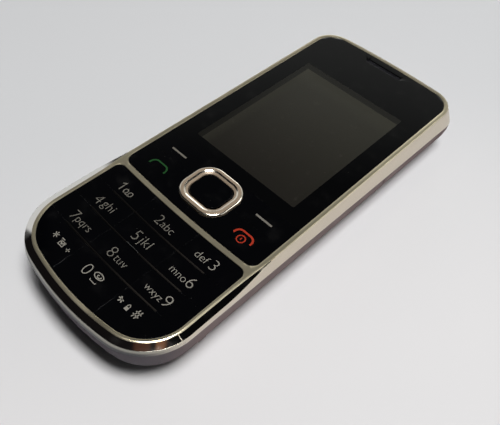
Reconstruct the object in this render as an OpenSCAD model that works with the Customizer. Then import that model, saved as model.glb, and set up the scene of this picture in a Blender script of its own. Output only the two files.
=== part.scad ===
// Candybar feature phone. Millimetres, origin at the middle of the back, +Y to the earpiece, +Z out of the display.

/* [Body] */
// Length over the ends
body_l = 109.6; // [107:0.2:114]
// Width over the side bands
body_w = 46; // [45:0.2:50]
// Height of the front face above the back
front_z = 13.6; // [13.4:0.1:14.6]
// Height of the parting line at the earpiece end
seam_top_z = 8.7; // [8.4:0.1:9.2]
// Height of the parting line at the keypad end
seam_foot_z = 11.6; // [11:0.1:11.8]
// How far the rounded back draws in from the side
back_round = 6; // [4:0.2:7]
// Wall of the rear chassis and the rear cover
wall = 1.2; // [1:0.1:1.4]
// How much narrower each side is at the keypad end
foot_taper = 0.3; // [0:0.05:0.55]
// Corner radius of the side band at the earpiece end
band_corner_r = 5.6; // [5:0.1:7.7]
// Corner radius of the front face's outline at the earpiece end
top_corner_r = 7.7; // [7:0.1:9]
// Corner radius at the keypad end
foot_corner_r = 12.6; // [11:0.1:14]
// Radius of the gently arched earpiece end
top_arch_r = 260; // [150:10:400]
// Radius of the gently arched keypad end
foot_arch_r = 70; // [60:5:130]

/* [Front frame] */
// Lean of the side band beside the display
band_lean = 1.15; // [0.8:0.05:1.2]
// Lean of the side strip beside the keypad
strip_lean = 0.25; // [0.2:0.05:0.5]
// Height of the step under the rim beside the display
rim_step = 0.25; // [0.15:0.05:0.4]
// Height of the bright trim beside the keypad
trim_h = 0.4; // [0.35:0.05:0.8]
// Outer edge of the rim beside the display, in from the side
rim_edge = 1.25; // [1.22:0.01:1.4]
// Outer edge of the rim beside the keypad, in from the side
rim_edge_foot = 1.7; // [1.5:0.05:1.8]
// How far the front face's outline ends short of the foot
foot_lip = 0.2; // [0:0.05:0.4]
// Where the bright trim starts to widen, above the divider bar
trim_start_above = 9.55; // [7:0.05:13]
// Where the bright trim has its full width, below the divider bar's upper edge
trim_full_below = 10.45; // [8:0.05:14]
// Edge of the display window, in from the side
window_inset = 2.3; // [2.1:0.05:2.5]
// Edge of the keypad, in from the side
pad_inset = 2.5; // [2.3:0.05:2.6]
// Upper edge of the divider bar at the middle, from the foot
divider_from_foot = 31.25; // [30.8:0.05:31.5]
// Width of the divider bar
divider_w = 1.3; // [1:0.1:1.6]
// Rise of the divider bar and the key rows at the sides
row_sag = 0.45; // [0:0.05:0.8]
// Radius of the window's lower corners
window_corner_r = 2.2; // [1.5:0.1:3]
// Radius of the keypad's upper corners
pad_corner_r = 1.8; // [1.2:0.1:2.5]

/* [Display window] */
// Thickness of the window
window_t = 1.1; // [0.9:0.1:1.3]
// How far window and keys sit below the rim
window_sink = 0.1; // [0.05:0.05:0.3]
// Lower edge of the window, above the divider bar's upper edge
window_above = 15; // [14.85:0.05:15.25]
// Width of the shelf that carries the window
shelf_w = 1.2; // [0.9:0.1:1.4]
// Length of the earpiece slot
ear_slot_l = 11.5; // [9:0.5:14]
// Width of the earpiece slot
ear_slot_w = 1.3; // [1:0.1:1.8]
// Middle of the earpiece slot, in from the end
ear_slot_inset = 4.9; // [4.6:0.1:5.2]

/* [Keys] */
// Press of every key
key_travel = 0.3; // [0.2:0.05:0.35]
// Thickness of the key caps
cap_t = 1.2; // [1:0.1:1.3]
// Radius of the stem under a key
stem_r = 1.6; // [1.3:0.1:1.8]
// Middle of the gap between the first two number rows, below the divider bar's upper edge
row_1_below = 7.45; // [7.15:0.05:7.75]
// Spacing of the number rows
row_pitch = 6.12; // [6:0.02:6.2]
// Width of a row rib
rib_w = 0.3; // [0.25:0.05:0.4]
// Half length of a row rib
rib_half_l = 14.6; // [13:0.2:16]
// How far a row rib stands above the keys
rib_rise = 0.05; // [0.02:0.01:0.1]
// Radius of a key dome
dome_r = 1.6; // [1.4:0.05:1.65]
// Height of a key dome
dome_h = 0.26; // [0.2:0.02:0.3]

/* [Navigation key] */
// Middle of the navigation ring, above the divider bar's upper edge
nav_above = 8.5; // [8.45:0.01:8.55]
// Width of the navigation ring
nav_w = 13.3; // [13:0.1:13.5]
// Length of the navigation ring
nav_l = 12.1; // [11.9:0.05:12.2]
// Corner radius of the navigation ring
nav_r = 4.5; // [4:0.1:5]
// Width of the ring's face, side to side
nav_face = 2; // [1.8:0.1:2.2]
// Height of the ring's crest above the front face
nav_rise = 0.4; // [0.2:0.05:0.6]
// How far the select key sits below the crest
select_sink = 0.3; // [0.2:0.05:0.5]
// Radius of the rocking ribs under the ring
rock_r = 0.3; // [0.28:0.01:0.32]

/* [Inside] */
// Underside of the main board
board_z = 9.4; // [9.3:0.05:9.5]
// Thickness of the main board
board_t = 0.8; // [0.7:0.05:0.85]
// Edge of the main board, in from the side
board_inset = 2.4; // [2.3:0.1:2.8]
// Half width of the display glass
lcd_half_w = 17; // [16.2:0.1:17.1]
// Lower edge of the display glass, above the window's lower edge
lcd_above = 2.45; // [2.35:0.05:2.95]
// Upper edge of the display glass, in from the end
lcd_top_inset = 16.2; // [15.4:0.1:16.8]
// Thickness of the display glass
lcd_t = 0.9; // [0.7:0.05:0.95]
// Width of the battery
battery_w = 30; // [28:0.5:33]
// Length of the battery
battery_l = 50; // [46:0.5:55]
// Thickness of the battery
battery_t = 5.6; // [4.8:0.1:5.7]
// Lower end of the battery, in from the foot
battery_foot_inset = 14.8; // [12:0.2:16]
// Distance of the housing screws from the side
screw_inset = 3.9; // [3.8:0.05:4]
// Thread radius of a housing screw
screw_r = 0.8; // [0.6:0.05:0.85]

/* [Ports] */
// Bore radius of the audio jack
audio_r = 1.8; // [1.76:0.01:1.9]
// Depth of the audio jack's bore
audio_l = 14; // [12:0.5:14.5]
// Bore radius of the charging socket
charge_r = 1.1; // [1.05:0.01:1.3]
// Depth of the charging socket's bore
charge_l = 9; // [8:0.5:10]
// Height of the round ports above the back
port_z = 6; // [5.8:0.1:6.1]
// Distance of the round ports from the middle
port_x = 12; // [11.6:0.1:12.4]

/* [Rear] */
// Upper edge of the rear cover, in from the end
cover_top_inset = 28.8; // [27.8:0.2:29.8]
// Height of the rear cover's side edge
cover_h = 4.4; // [4:0.1:4.8]
// Radius of the camera window
camera_r = 3.2; // [2.8:0.1:3.4]
// Hinge end of the card door, in from the earpiece end
door_inset = 34.2; // [33.6:0.2:34.8]
// Length of the card door
door_l = 12.8; // [12:0.2:13.4]
// Bottom edge of the card door
door_z = 6.3; // [6:0.1:6.6]
// Top edge of the card door
door_top_z = 8.6; // [8.2:0.1:8.8]

/* [Fits] */
// Gap round a moving key
key_gap = 0.15; // [0.1:0.01:0.2]
// Gap round the rocking navigation ring
nav_gap = 0.25; // [0.22:0.01:0.3]
// Gap at parting lines and seats
seat_gap = 0.08; // [0.05:0.01:0.12]

/* [Hidden] */
$fn = 64;
eps = 0.01;
trim_steps = 14;
half_w = body_w / 2;
top_y = body_l / 2;
foot_y = -body_l / 2;
divider_y = foot_y + divider_from_foot;
trim_start_y = divider_y + trim_start_above;
trim_full_y = divider_y - trim_full_below;
window_foot_y = divider_y + window_above;
row_1_y = divider_y - row_1_below;
nav_y = divider_y + nav_above;
lcd_foot_y = window_foot_y + lcd_above;
lcd_top_y = top_y - lcd_top_inset;
battery_foot_y = foot_y + battery_foot_inset;
battery_top_y = battery_foot_y + battery_l;
cover_top_y = top_y - cover_top_inset;
door_y = top_y - door_inset;
seam_rise = (seam_top_z - seam_foot_z) / body_l;
board_top = board_z + board_t;
cap_top = front_z - window_sink;
cap_z = cap_top - cap_t;
window_z = cap_top - window_t;
tape_t = 0.1;
shelf_top = window_z - tape_t;
roof_z = shelf_top - 0.6;
web_t = 0.3;
web_z = roof_z - seat_gap - web_t;
stem_z = board_top + dome_h + key_travel + 0.12;
side_in = 1.9;
pad_top_y = divider_y - divider_w;
pad_foot_y = foot_y + foot_lip + pad_inset;
row_y = [pad_top_y, row_1_y, row_1_y - row_pitch, row_1_y - 2 * row_pitch, pad_foot_y - 4];
pad_half_w = half_w - pad_inset;
column_x = pad_half_w / 3;
legend_x = pad_half_w * 2 / 3;
soft_key_xy = [legend_x, (window_foot_y + nav_y) / 2 - 0.5];
call_key_xy = [legend_x, nav_y - 3.6];
nav_arm = nav_l / 2 - 1;
nav_crest = front_z + nav_rise;
ring_z = stem_z + 1.25;
pad_pivot_z = ring_z - rock_r - 0.02;
nav_pad_t = 0.6;
nav_pad_z = pad_pivot_z - nav_pad_t;
rest_z = nav_pad_z - rock_r - 0.02;
select_w = nav_w - 2 * nav_face - 2 * nav_gap;
select_l = nav_l - 2 * nav_face - 2 * nav_gap;
select_r = nav_r - nav_face;
screw_foot_y = foot_y + 16.8;
screw_top_y = door_y - 8.6;
screw_y = [screw_foot_y, (screw_foot_y + screw_top_y) / 2, screw_top_y];
screw_x = half_w - screw_inset;
boss_r = screw_r + 0.7;
rib_t = 1;
head_z = 5.6;
back_floor = wall;
tray_z = board_z - 1.65;
tray_t = 0.6;
battery_z = tray_z - 0.15 - battery_t;
ear_y = top_y - ear_slot_inset;
camera_xy = [-4.6, top_y - 16.8];
camera_side = 8;
speaker_xy = [6.4, top_y - 19.3];
speaker_w = 12;
speaker_l = 10;
speaker_r = 3;
antenna_top_y = top_y - wall - back_round - 0.6;
antenna_l = 3.4;
antenna_w = 24;
shield_w = 15;
shield_x = -2.5;
shield_t = 1.4;
shield_gap = 0.6;
tray_top_y = battery_top_y - 1.5;
connector_l = 2.2;
shield_foot_y = battery_top_y + connector_l + shield_gap;
shield_top_y = camera_xy.y - camera_side / 2 - shield_gap;
shield_split_y = mix(shield_foot_y, shield_top_y, 0.62);
motor_x = -15.5;
motor_z = board_z - 2.05;
motor_y = top_y - 28.3;
motor_l = 8;
motor_r = 1.9;
shaft_r = 0.4;
shaft_l = 4.4;
weight_gap = 0.6;
weight_l = 3.6;
sim_w = 15;
sim_l = 25;
sim_t = 0.76;
sim_x = -5.4;
sim_foot_y = battery_foot_y + 5;
sim_z = board_z - 0.34 - sim_t;
sim_frame = 0.7;
card_w = 11;
card_slot_h = 0.9;
port_face_y = top_y - wall - 0.9;
port_body_y = port_face_y - 1.4;
port_lip = 0.5;
data_w = 7.6;
data_h = 2.8;
data_z = port_z - 0.8;
pivot_d = 0.75;
pivot_xy = [half_w - pivot_d, door_y + pivot_d + 0.1];
pivot_r = 0.25;

// Outline points [x, y, nx, ny], counter-clockwise, with tangent arcs that stay concentric when offset. The half
// width is wt at the earpiece end and wf at the foot y0, with n steps along each side where the trim widens.
function arc(c, r, a0, a1, n) =
    [for (i = [0:n - 1]) let (a = a0 + (a1 - a0) * i / n) [c.x + r * cos(a), c.y + r * sin(a), cos(a), sin(a)]];
function trim_ys(n, y0, y1) = n == 0 ? [] : [for (i = [0:n]) y0 + (y1 - y0) * i / n];
function outline(wt, wf, y0, rt, n) = let (
    tc = [wt - rt, top_y - top_arch_r + sqrt(pow(top_arch_r - rt, 2) - pow(wt - rt, 2))],
    fx = wf - foot_corner_r,
    fc = [fx, y0 + foot_arch_r - sqrt(pow(foot_arch_r - foot_corner_r, 2) - fx * fx)],
    ta = atan2(tc.y - top_y + top_arch_r, tc.x),
    fa = atan2(y0 + foot_arch_r - fc.y, fc.x),
    side_x = function (y) wf + (wt - wf) * (y - fc.y) / (tc.y - fc.y))
    concat(
    [for (y = concat([fc.y], trim_ys(n, trim_full_y, trim_start_y))) [side_x(y), y, 1, 0]],
    arc(tc, rt, 0, ta, 8),
    arc([0, top_y - top_arch_r], top_arch_r, ta, 180 - ta, 4),
    arc([-tc.x, tc.y], rt, 180 - ta, 180, 8),
    [for (y = concat([tc.y], trim_ys(n, trim_start_y, trim_full_y))) [-side_x(y), y, -1, 0]],
    arc([-fc.x, fc.y], foot_corner_r, 180, 180 + fa, 10),
    arc([0, y0 + foot_arch_r], foot_arch_r, 180 + fa, 360 - fa, 6),
    arc(fc, foot_corner_r, 360 - fa, 360, 10));
function face_path(n) = outline(half_w, half_w, foot_y + foot_lip, top_corner_r, n);
function body_path(r, n) = outline(half_w, half_w - foot_taper, foot_y, r, n);
function box_path(w, l, r) = concat(
    arc([w / 2 - r, l / 2 - r], r, 0, 90, 8), arc([-w / 2 + r, l / 2 - r], r, 90, 180, 8),
    arc([-w / 2 + r, -l / 2 + r], r, 180, 270, 8), arc([w / 2 - r, -l / 2 + r], r, 270, 360, 8));
function moved(path, v) = [for (p = path) [p.x + v.x, p.y + v.y, p[2], p[3]]];
function flat(path, d) = [for (p = path) [p.x - d * p[2], p.y - d * p[3]]];
function seam_z(y) = seam_top_z + seam_rise * (y - top_y);
function ease(t) = let (c = min(1, max(0, t))) c * c * (3 - 2 * c);
function mix(a, b, t) = a + (b - a) * t;
function trim_share(y) = ease((y - trim_start_y) / (trim_full_y - trim_start_y));
function band_d(y) = mix(band_lean, strip_lean, trim_share(y));
function band_z(y) = front_z - mix(rim_step, trim_h, trim_share(y));
function rim_d(y) = mix(rim_edge, rim_edge_foot, trim_share(y));
function sag(x) = row_sag * pow(x / 17, 2);

// Solid through rings of points that all have the same count.
module loft(rings) {
    n = len(rings[0]);
    m = len(rings);
    polyhedron([for (r = rings) each r], concat(
        [[for (i = [0:n - 1]) i]],
        [for (k = [0:m - 2], i = [0:n - 1]) let (j = (i + 1) % n) [k * n + i, (k + 1) * n + i, (k + 1) * n + j]],
        [for (k = [0:m - 2], i = [0:n - 1]) let (j = (i + 1) % n) [k * n + i, (k + 1) * n + j, k * n + j]],
        [[for (i = [n - 1:-1:0]) (m - 1) * n + i]]), convexity = 4);
}

// Sections [inset, height] carried along a path, open with flat ends or closed on itself.
module sweep(path, sections, closed) {
    n = len(path);
    m = len(sections[0]);
    pts = [for (i = [0:n - 1]) let (p = path[i])
        for (s = sections[i]) [p.x - s[0] * p[2], p.y - s[0] * p[3], s[1]]];
    last = closed ? n - 1 : n - 2;
    skin = [for (i = [0:last], k = [0:m - 1]) let (j = (i + 1) % n, q = (k + 1) % m)
        each [[i * m + k, j * m + q, j * m + k], [i * m + k, i * m + q, j * m + q]]];
    ends = closed ? [] : [[for (k = [m - 1:-1:0]) k], [for (k = [0:m - 1]) (n - 1) * m + k]];
    polyhedron(pts, concat(skin, ends), convexity = 6);
}

module plate(path, d, z0, z1) {
    translate([0, 0, z0])
        linear_extrude(z1 - z0)
            polygon(flat(path, d));
}

module box(x0, x1, y0, y1, z0, z1) {
    translate([x0, y0, z0])
        cube([x1 - x0, y1 - y0, z1 - z0]);
}

module rounded(w, l, r) {
    square([w - 2 * r, l], center = true);
    square([w, l - 2 * r], center = true);
    for (x = [-1, 1], y = [-1, 1])
        translate([x * (w / 2 - r), y * (l / 2 - r)])
            circle(r);
}

module rounded_box(x, y, w, l, r, z0, z1) {
    translate([x, y, z0])
        linear_extrude(z1 - z0)
            rounded(w, l, r);
}

module rod(x, y, z0, z1, r) {
    translate([x, y, z0])
        cylinder(r = r, h = z1 - z0);
}

module rod_y(x, z, y0, y1, r) {
    translate([x, y0, z])
        rotate([-90, 0, 0])
            cylinder(r = r, h = y1 - y0);
}

// The dark lower body as one shell: an elliptic side that rises from the flat back to the parting line.
function shell_ring(a, d, floor) = let (inset = d + back_round * (1 - sin(a)))
    [for (p = flat(body_path(max(band_corner_r, inset + 1.5), 0), inset))
        [p.x, p.y, floor + (seam_z(p.y) - seat_gap - floor) * (1 - cos(a))]];

module lower_shell() {
    loft(concat(
        [for (a = [0:11.25:90]) shell_ring(a, 0, 0)],
        [for (a = [90:-11.25:0]) shell_ring(a, wall, back_floor)]));
}

// Band between two of the curved lines that the key rows follow.
module row_band(y0, y1) {
    reach = half_w + 1;
    xs = [-reach:reach / 8:reach];
    polygon(concat([for (x = xs) [x, y0 + sag(x)]], [for (x = xs) [-x, y1 + sag(x)]]));
}

module window_area(d) {
    offset(r = window_corner_r - d)
        offset(delta = -window_corner_r)
            intersection() {
                polygon(flat(face_path(0), window_inset));
                row_band(divider_y, top_y + 5);
            }
}

module pad_area(d) {
    offset(r = pad_corner_r - d)
        offset(delta = -pad_corner_r)
            intersection() {
                polygon(flat(face_path(0), pad_inset));
                row_band(foot_y - 5, pad_top_y);
            }
}

module above(y) {
    translate([-body_w, y])
        square([2 * body_w, body_l]);
}

module window_plan(d) {
    intersection() {
        window_area(d);
        above(window_foot_y);
    }
}

module shelf_opening(d) {
    intersection() {
        window_area(shelf_w + d);
        above(window_foot_y + shelf_w + d);
    }
}

module each_screw() {
    for (x = [-screw_x, screw_x], y = screw_y)
        translate([x, y, 0])
            children();
}

module front_frame() {
    path = face_path(trim_steps);
    rings = [
        [for (p = body_path(band_corner_r, trim_steps)) [p.x, p.y, seam_z(p.y)]],
        [for (p = path) let (d = band_d(p.y)) [p.x - d * p[2], p.y - d * p[3], band_z(p.y)]],
        [for (p = path) let (d = rim_d(p.y)) [p.x - d * p[2], p.y - d * p[3], band_z(p.y) + eps]],
        [for (p = path) let (d = rim_d(p.y)) [p.x - d * p[2], p.y - d * p[3], front_z]]];
    color("silver") {
        difference() {
            loft(rings);
            plate(face_path(0), side_in, 0, roof_z);
            translate([0, 0, shelf_top])
                linear_extrude(front_z)
                    window_area(0);
            translate([0, 0, roof_z - 1])
                linear_extrude(front_z)
                    shelf_opening(0);
            translate([0, 0, roof_z - 1])
                linear_extrude(front_z)
                    difference() {
                        window_area(0);
                        above(window_foot_y);
                    }
            translate([0, 0, roof_z - 1])
                linear_extrude(front_z)
                    pad_area(0);
        }
        difference() {
            each_screw() {
                rod(0, 0, board_z - 0.8, web_z - seat_gap, boss_r);
            }
            each_screw()
                rod(0, 0, 0, web_z - 0.5, screw_r);
        }
        for (s = [0, 1], y = screw_y)
            mirror([s, 0, 0])
                box(screw_x + screw_r + 0.1, half_w - side_in + 0.3, y - rib_t, y + rib_t,
                    seam_foot_z - 0.25, web_z - seat_gap);
    }
}

module keypad_trim() {
    path = [for (p = face_path(trim_steps)) if (trim_share(p.y) > 0.25) p];
    split = [for (i = [1:len(path) - 1]) if (path[i].x < -half_w + eps && path[i - 1].x > half_w - eps) i];
    run = split == [] ? path : concat(
        [for (i = [split[0]:len(path) - 1]) path[i]],
        [for (i = [0:split[0] - 1]) path[i]]);
    sections = [for (p = run) let (z0 = band_z(p.y) + 2 * eps, d = rim_d(p.y) - eps)
        [[band_d(p.y), z0], [d, z0], [d, front_z - eps]]];
    color("gainsboro")
        sweep(run, sections, false);
}

module display_window() {
    color("black")
        translate([0, 0, window_z])
            linear_extrude(window_t)
                difference() {
                    window_plan(seat_gap);
                    translate([0, ear_y])
                        rounded(ear_slot_l, ear_slot_w, ear_slot_w / 2 - eps);
                }
}

module window_tape() {
    color("dimgray")
        translate([0, 0, shelf_top])
            linear_extrude(tape_t)
                difference() {
                    window_plan(2 * seat_gap);
                    shelf_opening(-seat_gap);
                }
}

module earpiece_mesh() {
    color("gray")
        rounded_box(0, ear_y, ear_slot_l + 1, ear_slot_w + 1, 0.6, window_z - 0.2, window_z);
}

module earpiece() {
    color("darkslategray") {
        rounded_box(0, ear_y - 2, 12, 6, 1.5, board_top, window_z - 0.5);
        rounded_box(0, ear_y, ear_slot_l, ear_slot_w + 0.6, 0.6, board_top + 0.5, window_z - 0.2);
    }
}

module stem(x, y) {
    rod(x, y, stem_z, cap_z + eps, stem_r);
}

module rib_plan(d) {
    for (k = [1:3])
        intersection() {
            row_band(row_y[k] - rib_w / 2 - d, row_y[k] + rib_w / 2 + d);
            square([2 * (rib_half_l + d), 4 * body_l], center = true);
        }
}

function key_xy(column, row) =
    [(column - 1) * legend_x, row == 3 ? row_y[3] - row_pitch * 0.6 : (row_y[row] + row_y[row + 1]) / 2 + 0.15];

module number_key(column, row) {
    color("black") {
        translate([0, 0, cap_z])
            linear_extrude(cap_t)
                difference() {
                    intersection() {
                        pad_area(key_gap);
                        row_band(row_y[row + 1] + key_gap / 2, row_y[row] - key_gap / 2);
                        translate([(column - 1.5) * 2 * column_x + key_gap / 2 - (column == 0 ? 9 : 0), -body_l])
                            square([2 * column_x - key_gap + (column == 1 ? 0 : 9), 2 * body_l]);
                    }
                    rib_plan(key_gap);
                }
        stem(key_xy(column, row).x, key_xy(column, row).y);
    }
}

module nav_plan(d) {
    translate([0, nav_y])
        rounded(nav_w + 2 * d, nav_l + 2 * d, nav_r + d);
}

module function_key(s, upper) {
    x0 = upper ? nav_w / 2 + nav_gap : key_gap / 2;
    y0 = upper ? nav_y + key_gap / 2 : divider_y - 5;
    y1 = upper ? window_foot_y - key_gap : nav_y - key_gap / 2;
    at = upper ? soft_key_xy : call_key_xy;
    color("black") {
        translate([0, 0, cap_z])
            linear_extrude(cap_t)
                difference() {
                    intersection() {
                        window_area(key_gap);
                        mirror([s < 0 ? 1 : 0, 0])
                            translate([x0, y0])
                                square([body_w, y1 - y0]);
                    }
                    nav_plan(nav_gap);
                }
        stem(s * at.x, at.y);
    }
}

module select_key() {
    color("black") {
        rounded_box(0, nav_y, select_w, select_l, select_r, cap_z, nav_crest - select_sink);
        stem(0, nav_y);
    }
}

module nav_ring() {
    path = moved(box_path(nav_w, nav_l, nav_r), [0, nav_y]);
    profile = [[0, ring_z], [nav_face, ring_z], [nav_face, nav_crest - 0.6], [nav_face - 0.55, nav_crest - 0.1],
        [nav_face - 0.95, nav_crest], [0.45, nav_crest - 0.15], [0, nav_crest - 0.5]];
    color("silver")
        sweep(path, [for (p = path) profile], true);
}

module nav_pad() {
    color("dimgray") {
        difference() {
            rounded_box(0, nav_y, nav_w - 1, nav_l - 1, nav_r - 0.5, nav_pad_z, pad_pivot_z);
            rod(0, nav_y, 0, front_z, stem_r + 0.5);
        }
        for (v = [[nav_arm, 0], [-nav_arm, 0], [0, nav_arm], [0, -nav_arm]])
            rod(v.x, nav_y + v.y, stem_z - 0.05, nav_pad_z + eps, 0.8);
        for (x = [-nav_w / 2 + 0.6, nav_w / 2 - 1.9])
            translate([x, nav_y, pad_pivot_z])
                rotate([0, 90, 0])
                    cylinder(r = rock_r, h = 1.3);
        for (y = [-3.15, 2.15])
            rod_y(0, nav_pad_z, nav_y + y, nav_y + y + 1, rock_r);
    }
}

module row_ribs() {
    color("dimgray")
        translate([0, 0, web_z + web_t])
            linear_extrude(cap_top + rib_rise - web_z - web_t)
                rib_plan(0);
}

module each_stem() {
    for (c = [0:2], r = [0:3])
        translate(key_xy(c, r))
            children();
    for (s = [-1, 1]) {
        translate([s * soft_key_xy.x, soft_key_xy.y])
            children();
        translate([s * call_key_xy.x, call_key_xy.y])
            children();
    }
}

module each_dome() {
    each_stem()
        children();
    for (v = [[0, 0], [nav_arm, 0], [-nav_arm, 0], [0, nav_arm], [0, -nav_arm]])
        translate([v.x, nav_y + v.y])
            children();
}

module keypad_web() {
    color("lightgray") {
        difference() {
            translate([0, 0, web_z])
                linear_extrude(web_t)
                    intersection() {
                        polygon(flat(face_path(0), board_inset));
                        translate([-body_w, window_foot_y - 0.3 - body_l])
                            square([2 * body_w, body_l]);
                    }
            each_stem()
                translate([0, 0, web_z - 1])
                    cylinder(r = stem_r + key_gap, h = 3);
            translate([0, 0, web_z - 1])
                linear_extrude(2)
                    nav_plan(nav_gap);
        }
        for (y = [-2.65, 2.65])
            rod(0, nav_y + y, board_top + 0.1, rest_z, 0.55);
    }
}

module dome_sheet() {
    color("white")
        difference() {
            translate([0, 0, board_top])
                linear_extrude(0.1)
                    intersection() {
                        polygon(flat(face_path(0), board_inset + 4));
                        translate([-body_w, window_foot_y - 0.3 - body_l])
                            square([2 * body_w, body_l]);
                    }
            each_dome()
                translate([0, 0, board_top - 1])
                    cylinder(r = dome_r + 0.1, h = 3);
        }
}

module key_domes() {
    color("lightsteelblue")
        each_dome()
            translate([0, 0, board_top])
                cylinder(r1 = dome_r, r2 = dome_r / 2, h = dome_h);
}

module lcd_panel() {
    color("darkslategray")
        box(-lcd_half_w, lcd_half_w, lcd_foot_y, lcd_top_y, window_z - 0.3 - lcd_t, window_z - 0.3);
}

module lcd_frame() {
    color("whitesmoke")
        difference() {
            box(-lcd_half_w - 0.5, lcd_half_w + 0.5, lcd_foot_y - 0.5, lcd_top_y + 0.5,
                board_top, window_z - 0.6);
            box(-lcd_half_w - seat_gap, lcd_half_w + seat_gap, lcd_foot_y - seat_gap, lcd_top_y + seat_gap,
                window_z - 0.3 - lcd_t, front_z);
        }
}

module lcd_ribbon() {
    ribbon_y = lcd_foot_y - 0.5;
    color("goldenrod") {
        box(-6, 6, ribbon_y - 1.2, ribbon_y, board_top, board_top + 0.15);
        box(-6, 6, ribbon_y - 0.15, ribbon_y, board_top, window_z - 0.7);
    }
}

module main_board() {
    color("darkgreen")
        difference() {
            plate(face_path(0), board_inset, board_z, board_top);
            each_screw()
                rod(0, 0, 0, front_z, boss_r + 0.2);
            for (s = [0, 1], y = screw_y)
                mirror([s, 0, 0])
                    box(screw_x, half_w, y - boss_r - 0.2, y + boss_r + 0.2, 0, front_z);
        }
}

module shield(y0, y1) {
    color("silver")
        rounded_box(shield_x, (y0 + y1) / 2, shield_w, y1 - y0, 0.5, board_z - shield_t, board_z);
}

module baseband_shield() {
    shield(shield_foot_y, shield_split_y - shield_gap / 2);
}

module radio_shield() {
    shield(shield_split_y + shield_gap / 2, shield_top_y);
}

module microphone() {
    color("silver")
        rod(0, foot_y + 7, board_z - 1.2, board_z, 1.9);
}

module loudspeaker() {
    color("dimgray") {
        rounded_box(speaker_xy.x, speaker_xy.y, speaker_w, speaker_l, speaker_r, back_floor, back_floor + 2.6);
        rounded_box(speaker_xy.x, speaker_xy.y, speaker_w - 4, speaker_l - 3, speaker_r - 1,
            back_floor + 2.6, back_floor + 3.4);
    }
}

module vibration_motor() {
    color("silver") {
        rod_y(motor_x, motor_z, motor_y, motor_y + motor_l, motor_r);
        rod_y(motor_x, motor_z, motor_y - shaft_l, motor_y, shaft_r);
    }
}

module vibration_weight() {
    weight_y = motor_y - weight_gap - weight_l;
    color("gray")
        difference() {
            rod_y(motor_x, motor_z, weight_y, weight_y + weight_l, motor_r - 0.1);
            rod_y(motor_x, motor_z, weight_y - 1, motor_y, shaft_r + 0.05);
            box(motor_x - motor_r, motor_x + motor_r, weight_y - 1, motor_y, motor_z + motor_r / 2, motor_z + motor_r);
        }
}

module camera_module() {
    color("dimgray") {
        rounded_box(camera_xy.x, camera_xy.y, camera_side, camera_side, 0.5, back_floor + 1.8, board_z);
        rod(camera_xy.x, camera_xy.y, back_floor + 0.3, back_floor + 1.9, camera_r - 0.3);
    }
}

module camera_window() {
    color("black")
        rod(camera_xy.x, camera_xy.y, 0.4, back_floor, camera_r);
}

module camera_trim() {
    color("silver")
        difference() {
            rod(camera_xy.x, camera_xy.y, 0.15, back_floor, camera_r + 1.3);
            rod(camera_xy.x, camera_xy.y, 0, front_z, camera_r + 0.02);
        }
}

// A round socket: a body behind the curved wall, and a nose that reaches into the hole there.
module round_port(x, w, h, r, l, nose_r) {
    color("dimgray")
        difference() {
            union() {
                box(x - w / 2, x + w / 2, port_face_y - l - 1, port_body_y, port_z - h / 2, port_z + h / 2);
                box(x - w / 2 + 0.7, x + w / 2 - 0.7, port_face_y - l, port_body_y - 1.5, port_z + 2, board_z);
                rod_y(x, port_z, port_body_y - 1, port_face_y, nose_r);
            }
            rod_y(x, port_z, port_face_y - l, port_face_y + 1, r);
        }
}

module audio_jack() {
    round_port(-port_x, 5.6, 5, audio_r, audio_l, audio_r + port_lip - seat_gap);
}

module charging_socket() {
    round_port(port_x, 4.8, 4.4, charge_r, charge_l, charge_r + port_lip - seat_gap);
}

module data_socket() {
    mouth_y = top_y - 0.8;
    data_l = 5.4;
    color("silver") {
        difference() {
            box(-data_w / 2, data_w / 2, mouth_y - data_l, mouth_y, data_z, data_z + data_h);
            box(-data_w / 2 + 0.35, data_w / 2 - 0.35, mouth_y - data_l + 0.4, mouth_y + 1,
                data_z + 0.4, data_z + data_h - 0.4);
        }
        box(-1.8, 1.8, mouth_y - data_l + 0.2, mouth_y - 0.8, data_z + 1.3, data_z + 1.9);
        box(-3, 3, mouth_y - data_l, mouth_y - 2, data_z + data_h, board_z);
    }
}

module sim_area(d, z0, z1) {
    box(sim_x - sim_w / 2 - d, sim_x + sim_w / 2 + d, sim_foot_y - d, sim_foot_y + sim_l + d, z0, z1);
}

module sim_holder() {
    color("silver")
        difference() {
            sim_area(sim_frame, board_z - 1.5, board_z);
            for (y = [0, -1])
                translate([0, y, 0])
                    sim_area(seat_gap, sim_z - seat_gap, sim_z + sim_t + seat_gap);
            translate([0, -6, 0])
                sim_area(-3, board_z - 2, sim_z + 0.2);
        }
}

module sim_card() {
    color("ivory")
        sim_area(0, sim_z, sim_z + sim_t);
}

module card_holder() {
    color("silver")
        difference() {
            box(6.2, half_w - 3, door_y - 0.2, door_y + card_w + 1.6, board_z - 1.7, board_z);
            box(7.2, half_w, door_y + 0.6, door_y + card_w + 0.8, board_z - 1.4, board_z - 1.4 + card_slot_h);
        }
}

module battery_connector() {
    color("gold")
        box(-6, 6, battery_top_y + 0.2, battery_top_y + connector_l, board_z - 5, board_z);
}

module battery() {
    color("lightgray")
        rounded_box(0, battery_foot_y + battery_l / 2, battery_w, battery_l, 1.5,
            battery_z, battery_z + battery_t);
}

module slot_row(count, pitch, l, w) {
    for (i = [0:count - 1])
        translate([0, (i - (count - 1) / 2) * pitch])
            rounded(l, w, w / 2 - eps);
}

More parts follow.
